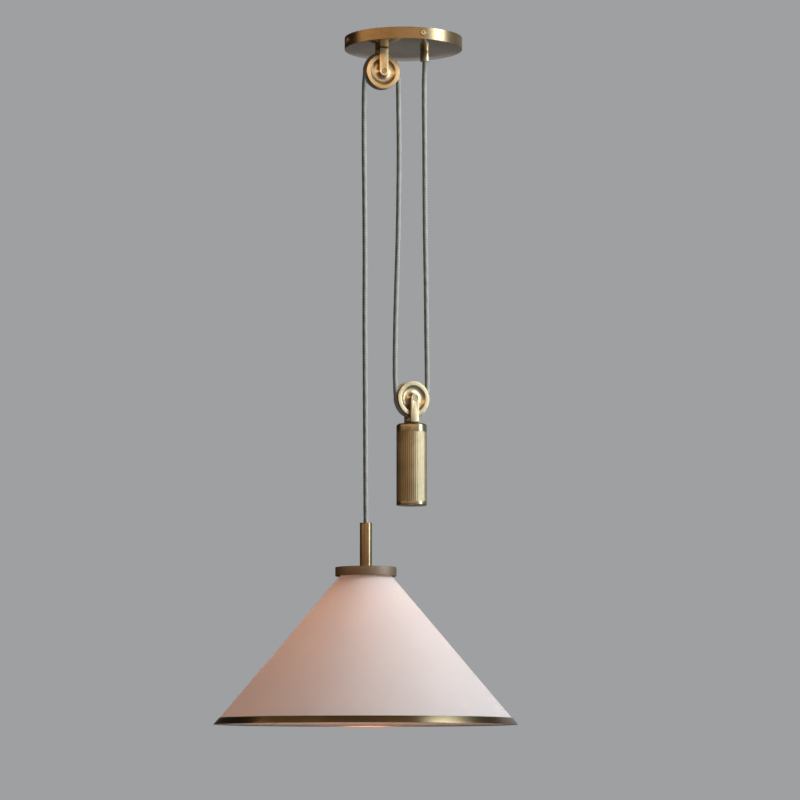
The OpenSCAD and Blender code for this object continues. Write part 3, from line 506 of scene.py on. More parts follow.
def lathe(outline, centre, steps=96, closed=True, flip=False, turn=0.0):
    """Bmesh of an outline in mm, spun about the vertical; flip lays the axis along Y."""
    bm = bmesh.new()
    along = bm.verts.layers.float.new("along")
    verts = [bm.verts.new((x, 0, z)) for x, z in outline]
    walked = 0.0
    for before, after in zip(verts, verts[1:]):
        walked += (after.co - before.co).length
        after[along] = walked
    pairs = list(zip(verts, verts[1:]))
    if closed:
        pairs.append((verts[-1], verts[0]))
    edges = [bm.edges.new(pair) for pair in pairs]
    bmesh.ops.spin(bm, geom=verts + edges, cent=(0, 0, 0), axis=(0, 0, 1), dvec=(0, 0, 0),
                   angle=2 * math.pi, steps=steps, use_merge=True)
    bmesh.ops.remove_doubles(bm, verts=bm.verts, dist=1e-4)
    bmesh.ops.recalc_face_normals(bm, faces=bm.faces)
    map_turned(bm, along, walked)
    place = Matrix.Translation(centre) @ Matrix.Rotation(turn, 4, "Z")
    if flip:
        place = place @ Matrix.Rotation(math.pi / 2, 4, "X")
    bm.transform(Matrix.Scale(MM, 4) @ place)
    return bm


def map_turned(bm, along, length):
    """Finish map of a turned piece: U runs round it and V along its outline, in metres."""
    layer = bm.loops.layers.uv.new(UV_NAME)
    for face in bm.faces:
        centre = face.calc_center_median()
        face_angle = math.atan2(centre.y, centre.x)
        radius = max(math.hypot(v.co.x, v.co.y) for v in face.verts)
        longest = max(v[along] for v in face.verts)
        for loop in face.loops:
            spot = loop.vert
            angle = math.atan2(spot.co.y, spot.co.x)
            if math.hypot(spot.co.x, spot.co.y) < 1e-3:
                angle = face_angle
            angle = face_angle + math.remainder(angle - face_angle, 2 * math.pi)
            reach = spot[along]
            if longest - reach > length / 2:
                reach += length
            loop[layer].uv = (angle * max(radius, 1) * MM, reach * MM)


def turned_piece(name, body, slot, finish, outline, centre, replaces=None, **options):
    """A lathe-made piece that replaces the CAD node of the same name."""
    sharp = options.pop("sharp", 35)
    bm = lathe(outline, centre, **options)
    nodes = [name.removesuffix("_finish")] if replaces is None else replaces
    return keep_piece(bm, name, body, slot, finish, nodes, sharp=sharp)


def map_round(bm, axis, upright=False):
    """Finish map of a piece round an upright axis: U runs round it and V up it, in metres.

    Upright changes the two over, so that the lines of a brushed finish run along the axis."""
    layer = bm.loops.layers.uv.new(UV_NAME)
    widest = max(math.hypot(v.co.x - axis.x * MM, v.co.y - axis.y * MM) for v in bm.verts)
    for face in bm.faces:
        centre = face.calc_center_median() - axis * MM
        face_angle = math.atan2(centre.y, centre.x)
        for loop in face.loops:
            spot = loop.vert.co - axis * MM
            angle = face_angle + math.remainder(math.atan2(spot.y, spot.x) - face_angle, 2 * math.pi)
            around, along = angle * widest, spot.z + widest - math.hypot(spot.x, spot.y)
            loop[layer].uv = (along, around) if upright else (around, along)


def softened_copy(node, body, slot, finish, radius, angle=40, axis=None):
    """Copy of a CAD node's mesh, merged to flat faces, with its sharp edges rounded.

    Angle is what counts as sharp; a piece with an upright axis gets the finish map round it."""
    bm = bmesh.new()
    bm.from_mesh(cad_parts[node].data)
    bmesh.ops.remove_doubles(bm, verts=bm.verts, dist=2e-6)
    bmesh.ops.dissolve_degenerate(bm, edges=bm.edges, dist=1e-6)
    bmesh.ops.dissolve_limit(bm, verts=bm.verts, edges=bm.edges, angle_limit=math.radians(1.5))
    bmesh.ops.recalc_face_normals(bm, faces=bm.faces)
    keen = [e for e in bm.edges if len(e.link_faces) == 2 and e.calc_face_angle(0) > math.radians(angle)]
    bmesh.ops.bevel(bm, geom=keen, offset=radius * MM, segments=2, profile=0.5, affect="EDGES",
                    clamp_overlap=True, material=-1)
    bmesh.ops.triangulate(bm, faces=[f for f in bm.faces if len(f.verts) > 4])
    if axis is not None:
        map_round(bm, axis)
    return keep_piece(bm, node + "_finish", body, slot, finish, [node], sharp=50)


# ---- Cord ----

# Share of the way down a run, and how far the cord stands out of the straight line there, in mm
SHADE_RUN_BOW = ((0, 0), (0.04, -1.6), (0.17, -2), (0.26, -1.4), (0.41, -0.9), (0.54, -1.2),
                 (0.66, -1), (0.78, -0.6), (0.9, -0.3), (1, 0))
MIDDLE_RUN_BOW = ((0, 0), (0.07, 0.7), (0.24, 2), (0.38, 1.9), (0.52, 1.2), (0.66, -0.3),
                  (0.79, -1.5), (0.93, -1.6), (1, 0))
GRIP_RUN_BOW = ((0, 0), (0.08, -1.2), (0.24, -1.1), (0.4, -1.2), (0.53, -1), (0.67, -0.3),
                (0.8, 0), (0.93, 0.3), (1, 0))
STRAIGHT = ((0, 0), (0.5, 0), (1, 0))
CORD_SIDES = 48
CORD_STEP = 0.55
LOOP_L = math.pi * WHEEL_R


def bow_at(bow, share):
    """Smooth curve through the bow's points."""
    last = len(bow) - 2
    index = min(last, sum(1 for place, _ in bow[1:] if place <= share))
    (x0, y0), (x1, y1) = bow[index], bow[index + 1]
    before, after = bow[max(index - 1, 0)], bow[min(index + 2, last + 1)]
    lean_in = (y1 - before[1]) / (x1 - before[0])
    lean_out = (after[1] - y0) / (after[0] - x0)
    t, span = (share - x0) / (x1 - x0), x1 - x0
    return ((2 * t**3 - 3 * t**2 + 1) * y0 + (t**3 - 2 * t**2 + t) * span * lean_in
            + (3 * t**2 - 2 * t**3) * y1 + (t**3 - t**2) * span * lean_out)


def straight_route(top, bottom, bow, turn_top, turn_bottom):
    """Route of a hanging run: centre and the cord's two cross directions at a share down it."""
    def route(share):
        centre = top.lerp(bottom, share) + Vector((bow_at(bow, share), 0, 0))
        turn = turn_top + (turn_bottom - turn_top) * share
        across = Vector((math.cos(turn), math.sin(turn), 0))
        return centre, across, Vector((-across.y, across.x, 0))
    return route


def loop_route(axle, turn, above):
    """Route of the half ring over a wheel, or under it, from its left end to its right."""
    facing = Matrix.Rotation(turn, 3, "Z")
    side = 1 if above else -1

    def route(share):
        angle = math.pi * (1 - share)
        out = facing @ Vector((math.cos(angle), 0, side * math.sin(angle)))
        return axle + out * WHEEL_R, -side * out, facing @ Vector((0, 1, 0))
    return route


def braided_tube(route, length, start, reverse=False):
    """A flat grid rolled round the route, with strands and cores raised on it.

    Start is how far along the cord the route begins; reverse counts back from there."""
    sizes = bpy.context.scene.pendant_sizes
    bm = bmesh.new()
    rings = math.ceil(length / CORD_STEP)
    bmesh.ops.create_grid(bm, x_segments=CORD_SIDES, y_segments=rings, size=0.5)
    layer = bm.loops.layers.uv.new(UV_NAME)
    way = -1 if reverse else 1
    for face in bm.faces:
        for loop in face.loops:
            x, y = loop.vert.co.x + 0.5, loop.vert.co.y + 0.5
            loop[layer].uv = (x * 2 * math.pi * CORD_R * MM, (start + way * y * length) * MM)
    stops = {}
    for vert in bm.verts:
        share = min(max(vert.co.y + 0.5, 0.0), 1.0)
        key = round(share * rings)
        if key not in stops:
            stops[key] = route(share)
        centre, across, depth = stops[key]
        walked = start + way * share * length
        angle = 2 * math.pi * (vert.co.x + 0.5)
        braid = math.cos(sizes.braid_strands * angle) + math.cos(2 * math.pi * walked / sizes.braid_pitch)
        cores = math.cos(3 * (angle - 2 * math.pi * walked / sizes.core_lay))
        sunk = sizes.braid_relief * (0.5 - braid / 4) ** 1.5 + sizes.core_relief * (0.5 - cores / 2)
        out = across * math.cos(angle) + depth * math.sin(angle)
        vert.co = (centre + out * (CORD_R - sunk)) * MM
    bmesh.ops.remove_doubles(bm, verts=bm.verts, dist=1e-6)
    bmesh.ops.holes_fill(bm, edges=[e for e in bm.edges if e.is_boundary], sides=0)
    bmesh.ops.recalc_face_normals(bm, faces=bm.faces)
    return bm


def keep_cord(bm, name, node, body):
    """Finished stretch of cord that stands for one CAD node."""
    return keep_piece(bm, name, body, "cord_fabric", "cord_fabric", [node], sharp=80)


def hang_cord(name, node, walked, top, foot, bow=STRAIGHT, turns=(0, 0), upward=False,
              body=None, below=None):
    """Stretch of cord between two points; returns its length.

    It rides on one body, or, where it hangs to a body below, stays unattached with its place baked into its
    mesh."""
    length = (top - foot).length
    start = walked + length if upward else walked
    route = straight_route(top, foot, bow, *turns)
    piece = keep_cord(braided_tube(route, length, start, reverse=upward), name, node, body)
    if below:
        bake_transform(piece)
    return length


def wrap_cord(name, node, walked, body, axle, turn, above):
    """Half ring of cord over a wheel, or under it; returns its length."""
    bm = braided_tube(loop_route(axle, turn, above), LOOP_L, walked + LOOP_L, reverse=True)
    keep_cord(bm, name, node, body)
    return LOOP_L


def make_cords():
    """The one cord, from its end in the canopy to its stop in the stem, in seven stretches."""
    reach = Vector((WHEEL_R, 0, 0))
    lower_reach = Matrix.Rotation(LOWER_TURN, 3, "Z") @ reach
    tail_top = Vector((GRIP.x, GRIP.y, top_of("cord_tail")))
    grip_foot = Vector((GRIP.x, GRIP.y, bottom_of("cord_grip_tube")))
    stem_top = STEM_FOOT + Vector((0, 0, top_of("stem_tube")))
    stem_stop = STEM_FOOT + Vector((0, 0, bottom_of("cord_in_stem")))
    walked = hang_cord("cord_tail_braid", "cord_tail", 0.0, tail_top, grip_foot, body="canopy")
    walked += hang_cord("cord_grip_run", "cord_to_canopy", walked, grip_foot, LOWER_AXLE + lower_reach,
                        GRIP_RUN_BOW, (0, LOWER_TURN), below="counterweight")
    walked += wrap_cord("cord_under_wheel", "cord_under_lower_wheel", walked, "counterweight",
                        LOWER_AXLE, LOWER_TURN, above=False)
    walked += hang_cord("cord_middle_braid", "cord_middle_run", walked, UPPER_AXLE + reach,
                        LOWER_AXLE - lower_reach, MIDDLE_RUN_BOW, (math.pi, math.pi + LOWER_TURN),
                        upward=True, below="counterweight")
    walked += wrap_cord("cord_over_wheel", "cord_over_upper_wheel", walked, "canopy",
                        UPPER_AXLE, 0, above=True)
    walked += hang_cord("cord_shade_run", "cord_to_shade", walked, UPPER_AXLE - reach, stem_top,
                        SHADE_RUN_BOW, below="shade")
    hang_cord("cord_stem_braid", "cord_in_stem", walked, stem_top, stem_stop, body="shade")


# ---- Turned and bent pieces ----

# Canopy and the turned stem and disc below it
CANOPY_EDGE = 0.8
CANOPY_WALL = 1.5
STEM_WALL = 1.5
CAP_WALL = 1.5
# A canopy face whose normal points further down than this is part of its polished underside
UNDERSIDE_NORMAL = -0.95
# Wheels: bore, hub, round dish between hub and rim, groove of the cord
WHEEL_BORE = 4.02
HUB_R = 6
DISH_EDGE_R = 18
DISH_DEPTH = 3
DISH_STEPS = 8
GROOVE_R = 3.7
# Counterweight: fit of its caps in the shell, and the shallow flutes round it
SHELL_FIT_R = 17.48
SHELL_GAP = 0.02
BOLT_HOLE_R = 2.6
SPIGOT = 4
TOP_BEVEL = 2
FLUTES = 48
FLUTE_R = 2.6
FLUTE_DEPTH = 0.2
FLUTE_CUTS = 9
# Shade: linen, the lap of its joint, rim band
SHADE_TOP_R = 33.7
LINEN_T = 1.2
LINEN_ROWS = 26
SEAM_T = 0.4
SEAM_GAP = 0.02
SEAM_INSET = 2
SEAM_TO_RIM = 0.5
RIM_T = 0.7
RIM_GAP = 0.12
RIM_LIP = 1
# Bulb: glass, neck, and drop of its shoulder below the screw base
GLASS_T = 1
BULB_R = 30
BULB_NECK_R = 12.6
BULB_SHOULDER = 2


def make_canopy():
    """Spun dish with a polished underside, and what the canopy holds."""
    radius, floor = radius_of("canopy_shell"), bottom_of("canopy_shell")
    inside, inside_r = floor + CANOPY_WALL, radius - CANOPY_WALL
    outline = rounded([
        (0, floor), (14, floor), (46, floor), (radius, floor, CANOPY_EDGE), (radius, 0, 0.3),
        (inside_r, 0, 0.2), (inside_r, inside, 1), (40, inside), (0, inside)], closed=False)
    canopy = turned_piece("canopy_shell_finish", "canopy", "satin_brass", "canopy_brass", outline, (0, 0, 0),
                          steps=192, closed=False)
    canopy.data.materials.append(finish_of("smooth_brass"))
    for face in canopy.data.polygons:
        if face.normal.z < UNDERSIDE_NORMAL:
            face.material_index = 1
    softened_copy("mounting_plate", "canopy", "zinc_steel", "zinc_steel", 0.25)
    softened_copy("terminal_block", "canopy", "white_ceramic", "white_ceramic", 0.3)
    softened_copy("cord_grip_tube", "canopy", "pale_brass", "lit_grip_brass", 0.3, axis=GRIP)


def groove_points():
    """Half of the cord groove, from the lip to its floor."""
    return [(WHEEL_R + GROOVE_R * math.cos(math.radians(a)), GROOVE_R * math.sin(math.radians(a)))
            for a in range(96, 181, 12)]


def dish_points(face):
    """Round hollow between hub and rim, from the hub's edge outward; face is half the wheel's width."""
    half_w = (DISH_EDGE_R - HUB_R) / 2
    dish_r = (half_w**2 + DISH_DEPTH**2) / (2 * DISH_DEPTH)
    reach = math.asin(half_w / dish_r)
    return [(HUB_R + half_w + dish_r * math.sin(a), face - DISH_DEPTH + dish_r * (1 - math.cos(a)))
            for a in (reach * step / DISH_STEPS for step in range(1 - DISH_STEPS, DISH_STEPS))]


def make_wheels():
    """Both pulley wheels, dished on both faces."""
    low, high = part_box("upper_wheel")
    face = (high.y - low.y) / 2 / MM
    half = rounded([
        (WHEEL_BORE, face, 0.2), (HUB_R, face, 0.35), *dish_points(face), (DISH_EDGE_R, face, 0.3),
        (WHEEL_R, face, 0.35), (WHEEL_R, GROOVE_R, 0.15), *groove_points()], closed=False)
    outline = half + [Vector((r, -h)) for r, h in reversed(half[:-1])]
    for side, axle, turn in (("upper", UPPER_AXLE, 0), ("lower", LOWER_AXLE, LOWER_TURN)):
        body = side + "_wheel"
        turned_piece(body + "_finish", body, "pale_brass", "pale_brass", outline, axle,
                     steps=128, flip=True, turn=turn, sharp=50)


def make_yokes():
    """Both bent straps that hold the wheels, with filed edges."""
    radius = bpy.context.scene.pendant_sizes.edge_round
    softened_copy("upper_yoke", "canopy", "satin_brass", "lit_flat_brass", radius)
    softened_copy("lower_yoke", "counterweight", "pale_brass", "shaded_flat_pale_brass", radius)


def fluted_ring(radius):
    """Angles and radii round the fluted shell: a round flute, then the land beside it."""
    pitch = 2 * math.pi / FLUTES
    axis_r = radius + FLUTE_R - FLUTE_DEPTH
    mouth = math.acos((axis_r**2 + radius**2 - FLUTE_R**2) / (2 * axis_r * radius))
    for flute in range(FLUTES):
        for cut in range(FLUTE_CUTS + 1):
            angle = mouth * (2 * cut / FLUTE_CUTS - 1)
            half_chord = math.sqrt(max(FLUTE_R**2 - (axis_r * math.sin(angle))**2, 0))
            yield flute * pitch + angle, axis_r * math.cos(angle) - half_chord
        yield flute * pitch + pitch / 2, radius


def make_weight_shell():
    """Fluted tube: its end ring, bridged and pulled up to its top."""
    radius = radius_of("weight_bottom_cap")
    top, bottom = top_of("weight_shell"), bottom_of("weight_shell")
    spots = list(fluted_ring(radius))
    bm = bmesh.new()
    ring = bmesh.ops.create_circle(bm, cap_ends=False, radius=radius, segments=len(spots))["verts"]
    for vert, (angle, reach) in zip(ring, spots):
        vert.co = (reach * math.cos(angle), reach * math.sin(angle), bottom)
    outer = list(bm.edges)
    bore = bmesh.ops.create_circle(
        bm, cap_ends=False, radius=SHELL_FIT_R + SHELL_GAP, segments=len(spots))["verts"]
    bmesh.ops.translate(bm, verts=bore, vec=(0, 0, bottom))
    inner = [e for e in bm.edges if e not in outer]
    floor = bmesh.ops.bridge_loops(bm, edges=outer + inner)["faces"]
    raised = bmesh.ops.extrude_face_region(bm, geom=floor, use_keep_orig=True)["geom"]
    lifted = [item for item in raised if isinstance(item, bmesh.types.BMVert)]
    bmesh.ops.translate(bm, verts=lifted, vec=(0, 0, top - bottom))
    bmesh.ops.recalc_face_normals(bm, faces=bm.faces)
    place = Matrix.Translation(LOWER_FOOT) @ Matrix.Rotation(LOWER_TURN, 4, "Z")
    bm.transform(Matrix.Scale(MM, 4) @ place)
    map_round(bm, LOWER_AXLE, upright=True)
    keep_piece(bm, "weight_shell_finish", "counterweight", "satin_brass", "fluted_brass",
               ["weight_shell"], sharp=50)


def make_weight():
    """Collar and both caps of the counterweight."""
    radius, collar_r = radius_of("weight_bottom_cap"), radius_of("weight_collar")
    top, shell_top = top_of("weight_top_cap"), top_of("weight_shell")
    bottom, shell_bottom = bottom_of("weight_bottom_cap"), bottom_of("weight_shell")
    collar = rounded([(BOLT_HOLE_R, top), (collar_r, top, 0.3), (collar_r, top_of("weight_collar"), 0.4),
                      (BOLT_HOLE_R, top_of("weight_collar"))])
    top_cap = rounded([
        (BOLT_HOLE_R, top), (radius - TOP_BEVEL, top, 0.3), (radius, top - TOP_BEVEL, 0.3),
        (radius, shell_top, 0.15), (SHELL_FIT_R, shell_top), (SHELL_FIT_R, shell_top - SPIGOT),
        (BOLT_HOLE_R, shell_top - SPIGOT)])
    bottom_cap = rounded([
        (0, bottom), (8, bottom), (radius, bottom, 1), (radius, shell_bottom, 0.15),
        (SHELL_FIT_R, shell_bottom), (SHELL_FIT_R, shell_bottom + SPIGOT), (0, shell_bottom + SPIGOT)],
        closed=False)
    options = {
        "body": "counterweight", "slot": "satin_brass", "finish": "shaded_weight_brass", "centre": LOWER_FOOT}
    turned_piece("weight_collar_finish", outline=collar, steps=64, **options)
    turned_piece("weight_top_cap_finish", outline=top_cap, steps=128, **options)
    turned_piece("weight_bottom_cap_finish", outline=bottom_cap, steps=128, closed=False, **options)


def make_stem():
    """Stem tube and the disc cap on the shade."""
    radius, top, foot = radius_of("stem_tube"), top_of("stem_tube"), bottom_of("stem_tube")
    tube = rounded([(radius - STEM_WALL, foot), (radius, foot, 0.1), (radius, top, 0.5),
                    (radius - STEM_WALL, top, 0.3)])
    turned_piece("stem_tube_finish", "shade", "satin_brass", "satin_brass", tube, STEM_FOOT, steps=96)
    cap_r, cap_foot = radius_of("shade_cap"), bottom_of("shade_cap")
    cap = rounded([
        (0, foot), (9, foot), (24, foot), (cap_r, foot, 0.8), (cap_r, cap_foot, 0.35),
        (cap_r - CAP_WALL, cap_foot, 0.2), (cap_r - CAP_WALL, foot - CAP_WALL, 0.8), (0, foot - CAP_WALL)],
        closed=False)
    turned_piece("shade_cap_finish", "shade", "satin_brass", "shaded_cap_finish", cap, STEM_FOOT,
                 steps=160, closed=False)


def cone_facts():
    """Top and foot of the linen, its radius growth for each mm down, and its slant share."""
    top, foot = top_of("shade_cone"), bottom_of("shade_cone")
    growth = (radius_of("shade_cone") - SHADE_TOP_R) / (top - foot)
    return top, foot, growth, math.sqrt(1 + growth**2)


def linen_radius(height):
    """Outer radius of the linen at a height, in millimetres."""
    top, _, growth, _ = cone_facts()
    return SHADE_TOP_R + (top - height) * growth


def map_flat_cut(bm, growth, skew):
    """Finish map of the linen: the cone unrolled flat, with its joint at the back."""
    layer = bm.loops.layers.uv.get(UV_NAME) or bm.loops.layers.uv.new(UV_NAME)
    share = growth / skew
    apex = top_of("shade_cone") + SHADE_TOP_R / growth
    for face in bm.faces:
        centre = face.calc_center_median() / MM
        face_turn = math.atan2(centre.y - STEM.y, centre.x - STEM.x) - BACK_TURN - math.pi
        face_turn = math.remainder(face_turn, 2 * math.pi)
        for loop in face.loops:
            spot = loop.vert.co / MM
            turn = math.atan2(spot.y - STEM.y, spot.x - STEM.x) - BACK_TURN - math.pi
            turn = face_turn + math.remainder(turn - face_turn, 2 * math.pi)
            slant = (apex - spot.z) * skew
            loop[layer].uv = (slant * math.sin(turn * share) * MM, slant * math.cos(turn * share) * MM)


def make_linen():
    """Open cone of cloth with a wall of its own, and the joint at its back."""
    top, foot, growth, skew = cone_facts()
    wall = LINEN_T * skew
    heights = [top + (foot - top) * row / LINEN_ROWS for row in range(LINEN_ROWS + 1)]
    outline = [Vector((linen_radius(z), z)) for z in heights]
    outline += [Vector((linen_radius(z) - wall, z)) for z in reversed(heights)]
    bm = lathe(outline, STEM_FOOT, steps=192)
    map_flat_cut(bm, growth, skew)
    keep_piece(bm, "linen_cone", "shade", "linen", "linen", ["shade_cone"], sharp=50)
    make_seam(heights, growth, skew)


def make_seam(heights, growth, skew):
    """Overlap where the cut linen meets itself at the back, from below the cap to above the rim band."""
    width = bpy.context.scene.pendant_sizes.seam_width
    top, foot = heights[0] - SEAM_INSET, top_of("shade_rim_band") + SEAM_TO_RIM
    run = [top, *(z for z in heights if foot + SEAM_INSET < z < top - SEAM_INSET), foot]
    bm = bmesh.new()
    bmesh.ops.create_grid(bm, x_segments=6, y_segments=len(run) - 1, size=0.5)
    for vert in bm.verts:
        height = run[round((0.5 - vert.co.y) * (len(run) - 1))]
        radius = linen_radius(height) + SEAM_GAP
        turn = BACK_TURN + vert.co.x * width / radius
        vert.co = Vector((STEM.x + radius * math.cos(turn), STEM.y + radius * math.sin(turn), height)) * MM
    bmesh.ops.recalc_face_normals(bm, faces=bm.faces)
    outward = Vector((math.cos(BACK_TURN), math.sin(BACK_TURN), 0))
    bm.faces.ensure_lookup_table()
    if bm.faces[0].normal.dot(outward) < 0:
        bmesh.ops.reverse_faces(bm, faces=bm.faces)
    bmesh.ops.solidify(bm, geom=bm.faces, thickness=-SEAM_T * MM)
    map_flat_cut(bm, growth, skew)
    keep_piece(bm, "linen_seam", "shade", "linen", "linen", sharp=50)


def make_rim():
    """Metal band round the foot of the linen, with a lip under it."""
    _, foot, _, skew = cone_facts()
    rim_foot, rim_top = bottom_of("shade_rim_band"), top_of("shade_rim_band")
    band = RIM_T * skew
    inner = linen_radius(foot) - LINEN_T * skew
    outline = rounded([
        (linen_radius(rim_top) + RIM_GAP, rim_top), (linen_radius(rim_top) + RIM_GAP + band, rim_top, 0.2),
        (linen_radius(rim_foot) + RIM_GAP + band, rim_foot, 0.3), (inner, rim_foot, 0.3),
        (inner, rim_foot + RIM_LIP), (linen_radius(foot) + RIM_GAP, rim_foot + RIM_LIP)])
    turned_piece("rim_band_finish", "shade", "satin_brass", "satin_brass", outline, STEM_FOOT,
                 replaces=["shade_rim_band"], steps=256)


def make_lampholder():
    """Lampholder under the cap, and the wire carrier of the shade."""
    for node in ("holder_cap", "holder_skirt"):
        softened_copy(node, "shade", "satin_brass", "satin_brass", 0.2, axis=STEM)
    softened_copy("holder_insert", "shade", "white_ceramic", "white_ceramic", 0.3)
    softened_copy("shade_carrier", "shade", "zinc_steel", "zinc_steel", 0.2)


def make_bulb():
    """Thin glass of the bulb: neck, shoulder and globe."""
    top, globe = top_of("bulb_glass"), bottom_of("bulb_glass") + BULB_R
    shoulder = bottom_of("bulb_base") - BULB_SHOULDER

    def half_outline(inset):
        reach = math.hypot(BULB_NECK_R, shoulder - globe)
        start = math.atan2(shoulder - globe, BULB_NECK_R) - math.acos((BULB_R - inset) / reach)
        arc = [(BULB_R - inset) * Vector((math.cos(a), math.sin(a))) + Vector((0, globe))
               for a in (start + (-math.pi / 2 - start) * step / 32 for step in range(33))]
        return [Vector((BULB_NECK_R - inset, top)), Vector((BULB_NECK_R - inset, shoulder)), *arc]

    outline = half_outline(0) + half_outline(GLASS_T)[::-1]
    glass = turned_piece("bulb_glass_finish", "shade", "opal_glass", "opal_glass", outline, STEM_FOOT,
                         steps=64, sharp=60)
    glass.visible_shadow = False


# CAD nodes that keep their mesh, by finish
NODE_FINISHES = {
    "shaded_flat_pale_brass": ("canopy_side_screws", "upper_axle_nut", "lower_axle_nut", "stem_top_bush"),
    "axle_steel": ("upper_axle", "lower_axle"),
    "contact_brass": ("earth_screw", "holder_screw_shell", "holder_contact"),
    "bronze": ("upper_wheel_bush", "lower_wheel_bush"),
    "zinc_steel": ("terminal_screws", "terminal_fixing_screws", "grip_set_screw", "grip_locknut",
                   "upper_yoke_bolt", "upper_yoke_nut", "upper_spacers", "lower_yoke_bolt",
                   "lower_spacers", "weight_ballast", "stem_bottom_bush", "nipple", "nipple_nuts"),
    "bulb_metal": ("bulb_base",),
    "wire_insulation": ("cord_cores", "holder_cores"),
    "black_plastic": ("cord_stop", "bulb_tip"),
}


def finish_small_parts():
    """Gives the screws, nuts, axles and wires that stay as they are their finishes."""
    for finish, nodes in NODE_FINISHES.items():
        for node in nodes:
            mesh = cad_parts[node].data
            mesh.materials.clear()
            mesh.materials.append(finish_of(finish))


# ---- Studio ----

# Width of the camera's sensor, in millimetres
SENSOR_W = 36
# All lengths below are metres
STUDIO_AIM = Vector((0, 0, -0.55))
KEY_DISTANCE = 2.5
KEY_W = 0.9
KEY_H = 2.8
KEY_COLOUR = (0.78, 0.92, 1.0)
ROOM_COLOUR = (1.0, 0.95, 0.9)
GLOW_R = 0.022
# The lined cone spreads the bulb's light: its strength rises over GLOW_RISE from the bulb, and
# fades to nothing over GLOW_END, which is past the rim
GLOW_RISE = (0.09, 0.22)
GLOW_STRENGTH = (57, 96)
GLOW_END = (0.27, 0.45)
FLOOR_Z = -2.4
FLOOR_R = 16
# Light of the floor as the camera sees it and as the brass mirrors it, as shares of the backdrop
FLOOR_LEVEL = 0.8
MIRRORED_FLOOR_LEVEL = 0.42
DARK_CARD_R = 3.2
WARM_CARD_R = 3.1
LOFT_Z = 3
LOFT_R = 8


def from_camera(turn):
    """Level direction from the pendant to the camera, turned to the camera's right."""
    azimuth = bpy.context.scene.pendant_studio.view_azimuth
    toward = Vector((math.sin(azimuth), -math.cos(azimuth), 0))
    return Matrix.Rotation(turn, 3, "Z") @ toward


def stage_object(name, bm, material):
    """Object of the set, which isn't part of the pendant."""
    mesh = bpy.data.meshes.new(name)
    bm.to_mesh(mesh)
    bm.free()
    mesh.materials.append(material)
    prop = bpy.data.objects.new(name, mesh)
    bpy.context.scene.collection.objects.link(prop)
    return prop


def add_camera(studio):
    """Camera at the photograph's viewing angle."""
    data = bpy.data.cameras.new("view")
    data.lens = studio.lens
    data.sensor_width = SENSOR_W
    data.clip_start, data.clip_end = 0.1, 200
    camera = bpy.data.objects.new("view", data)
    bpy.context.scene.collection.objects.link(camera)
    right = Matrix.Rotation(math.pi / 2, 3, "Z") @ from_camera(0)
    camera.location = from_camera(0) * studio.view_distance - right * studio.view_side
    camera.location.z = -studio.view_drop
    camera.rotation_euler = (math.pi / 2 + studio.view_tilt, 0, studio.view_azimuth)
    bpy.context.scene.camera = camera


def add_light(name, kind, place, power, colour, **settings):
    data = bpy.data.lights.new(name, kind)
    data.energy = power
    data.color = colour
    for key, value in settings.items():
        setattr(data, key, value)
    lamp = bpy.data.objects.new(name, data)
    bpy.context.scene.collection.objects.link(lamp)
    lamp.location = place
    return lamp


def add_lights(studio, colours):
    """Window at the right, and the bulb's light, which rides with the shade."""
    level = from_camera(studio.key_angle) * math.cos(studio.key_lift)
    key_place = STUDIO_AIM + (level + Vector((0, 0, math.sin(studio.key_lift)))) * KEY_DISTANCE
    key = add_light("window", "AREA", key_place, studio.key_power, KEY_COLOUR,
                    shape="RECTANGLE", size=KEY_W, size_y=KEY_H)
    key.rotation_euler = (STUDIO_AIM - key_place).to_track_quat("-Z", "Y").to_euler()
    globe = Vector((STEM.x, STEM.y, bottom_of("bulb_glass") + BULB_R)) * MM
    bulb = add_light("bulb_light", "POINT", globe, studio.bulb_power, tuple(colours.glow),
                     shadow_soft_size=GLOW_R, use_nodes=True)
    tree = bulb.data.node_tree
    reach = add_node(tree, "ShaderNodeLightPath").outputs["Ray Length"]
    strength = maths(tree, "MULTIPLY", remap(tree, reach, *GLOW_STRENGTH, *GLOW_RISE),
                     remap(tree, reach, 1.0, 0.0, *GLOW_END))
    falloff = add_node(tree, "ShaderNodeLightFalloff", {"Strength": strength})
    tree.links.new(falloff.outputs["Constant"], tree.nodes["Emission"].inputs["Strength"])
    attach(bulb, "shade")


def add_world(studio, colours):
    """Plain backdrop for the camera, metal and glass, over a dim even room light."""
    world = bpy.data.worlds.new("room")
    world.use_nodes = True
    tree = world.node_tree
    tree.nodes.clear()
    path = add_node(tree, "ShaderNodeLightPath").outputs
    seen = maths(tree, "MAXIMUM", path["Is Camera Ray"], path["Is Glossy Ray"])
    seen = maths(tree, "MAXIMUM", seen, path["Is Transmission Ray"])
    room = add_node(tree, "ShaderNodeBackground", {
        "Color": (*ROOM_COLOUR, 1), "Strength": studio.ambient})
    shown = add_node(tree, "ShaderNodeBackground", {"Color": (*colours.backdrop, 1), "Strength": 1.0})
    mix = add_node(tree, "ShaderNodeMixShader", {0: seen, 1: room.outputs[0], 2: shown.outputs[0]})
    add_node(tree, "ShaderNodeOutputWorld", {0: mix.outputs[0]})
    bpy.context.scene.world = world


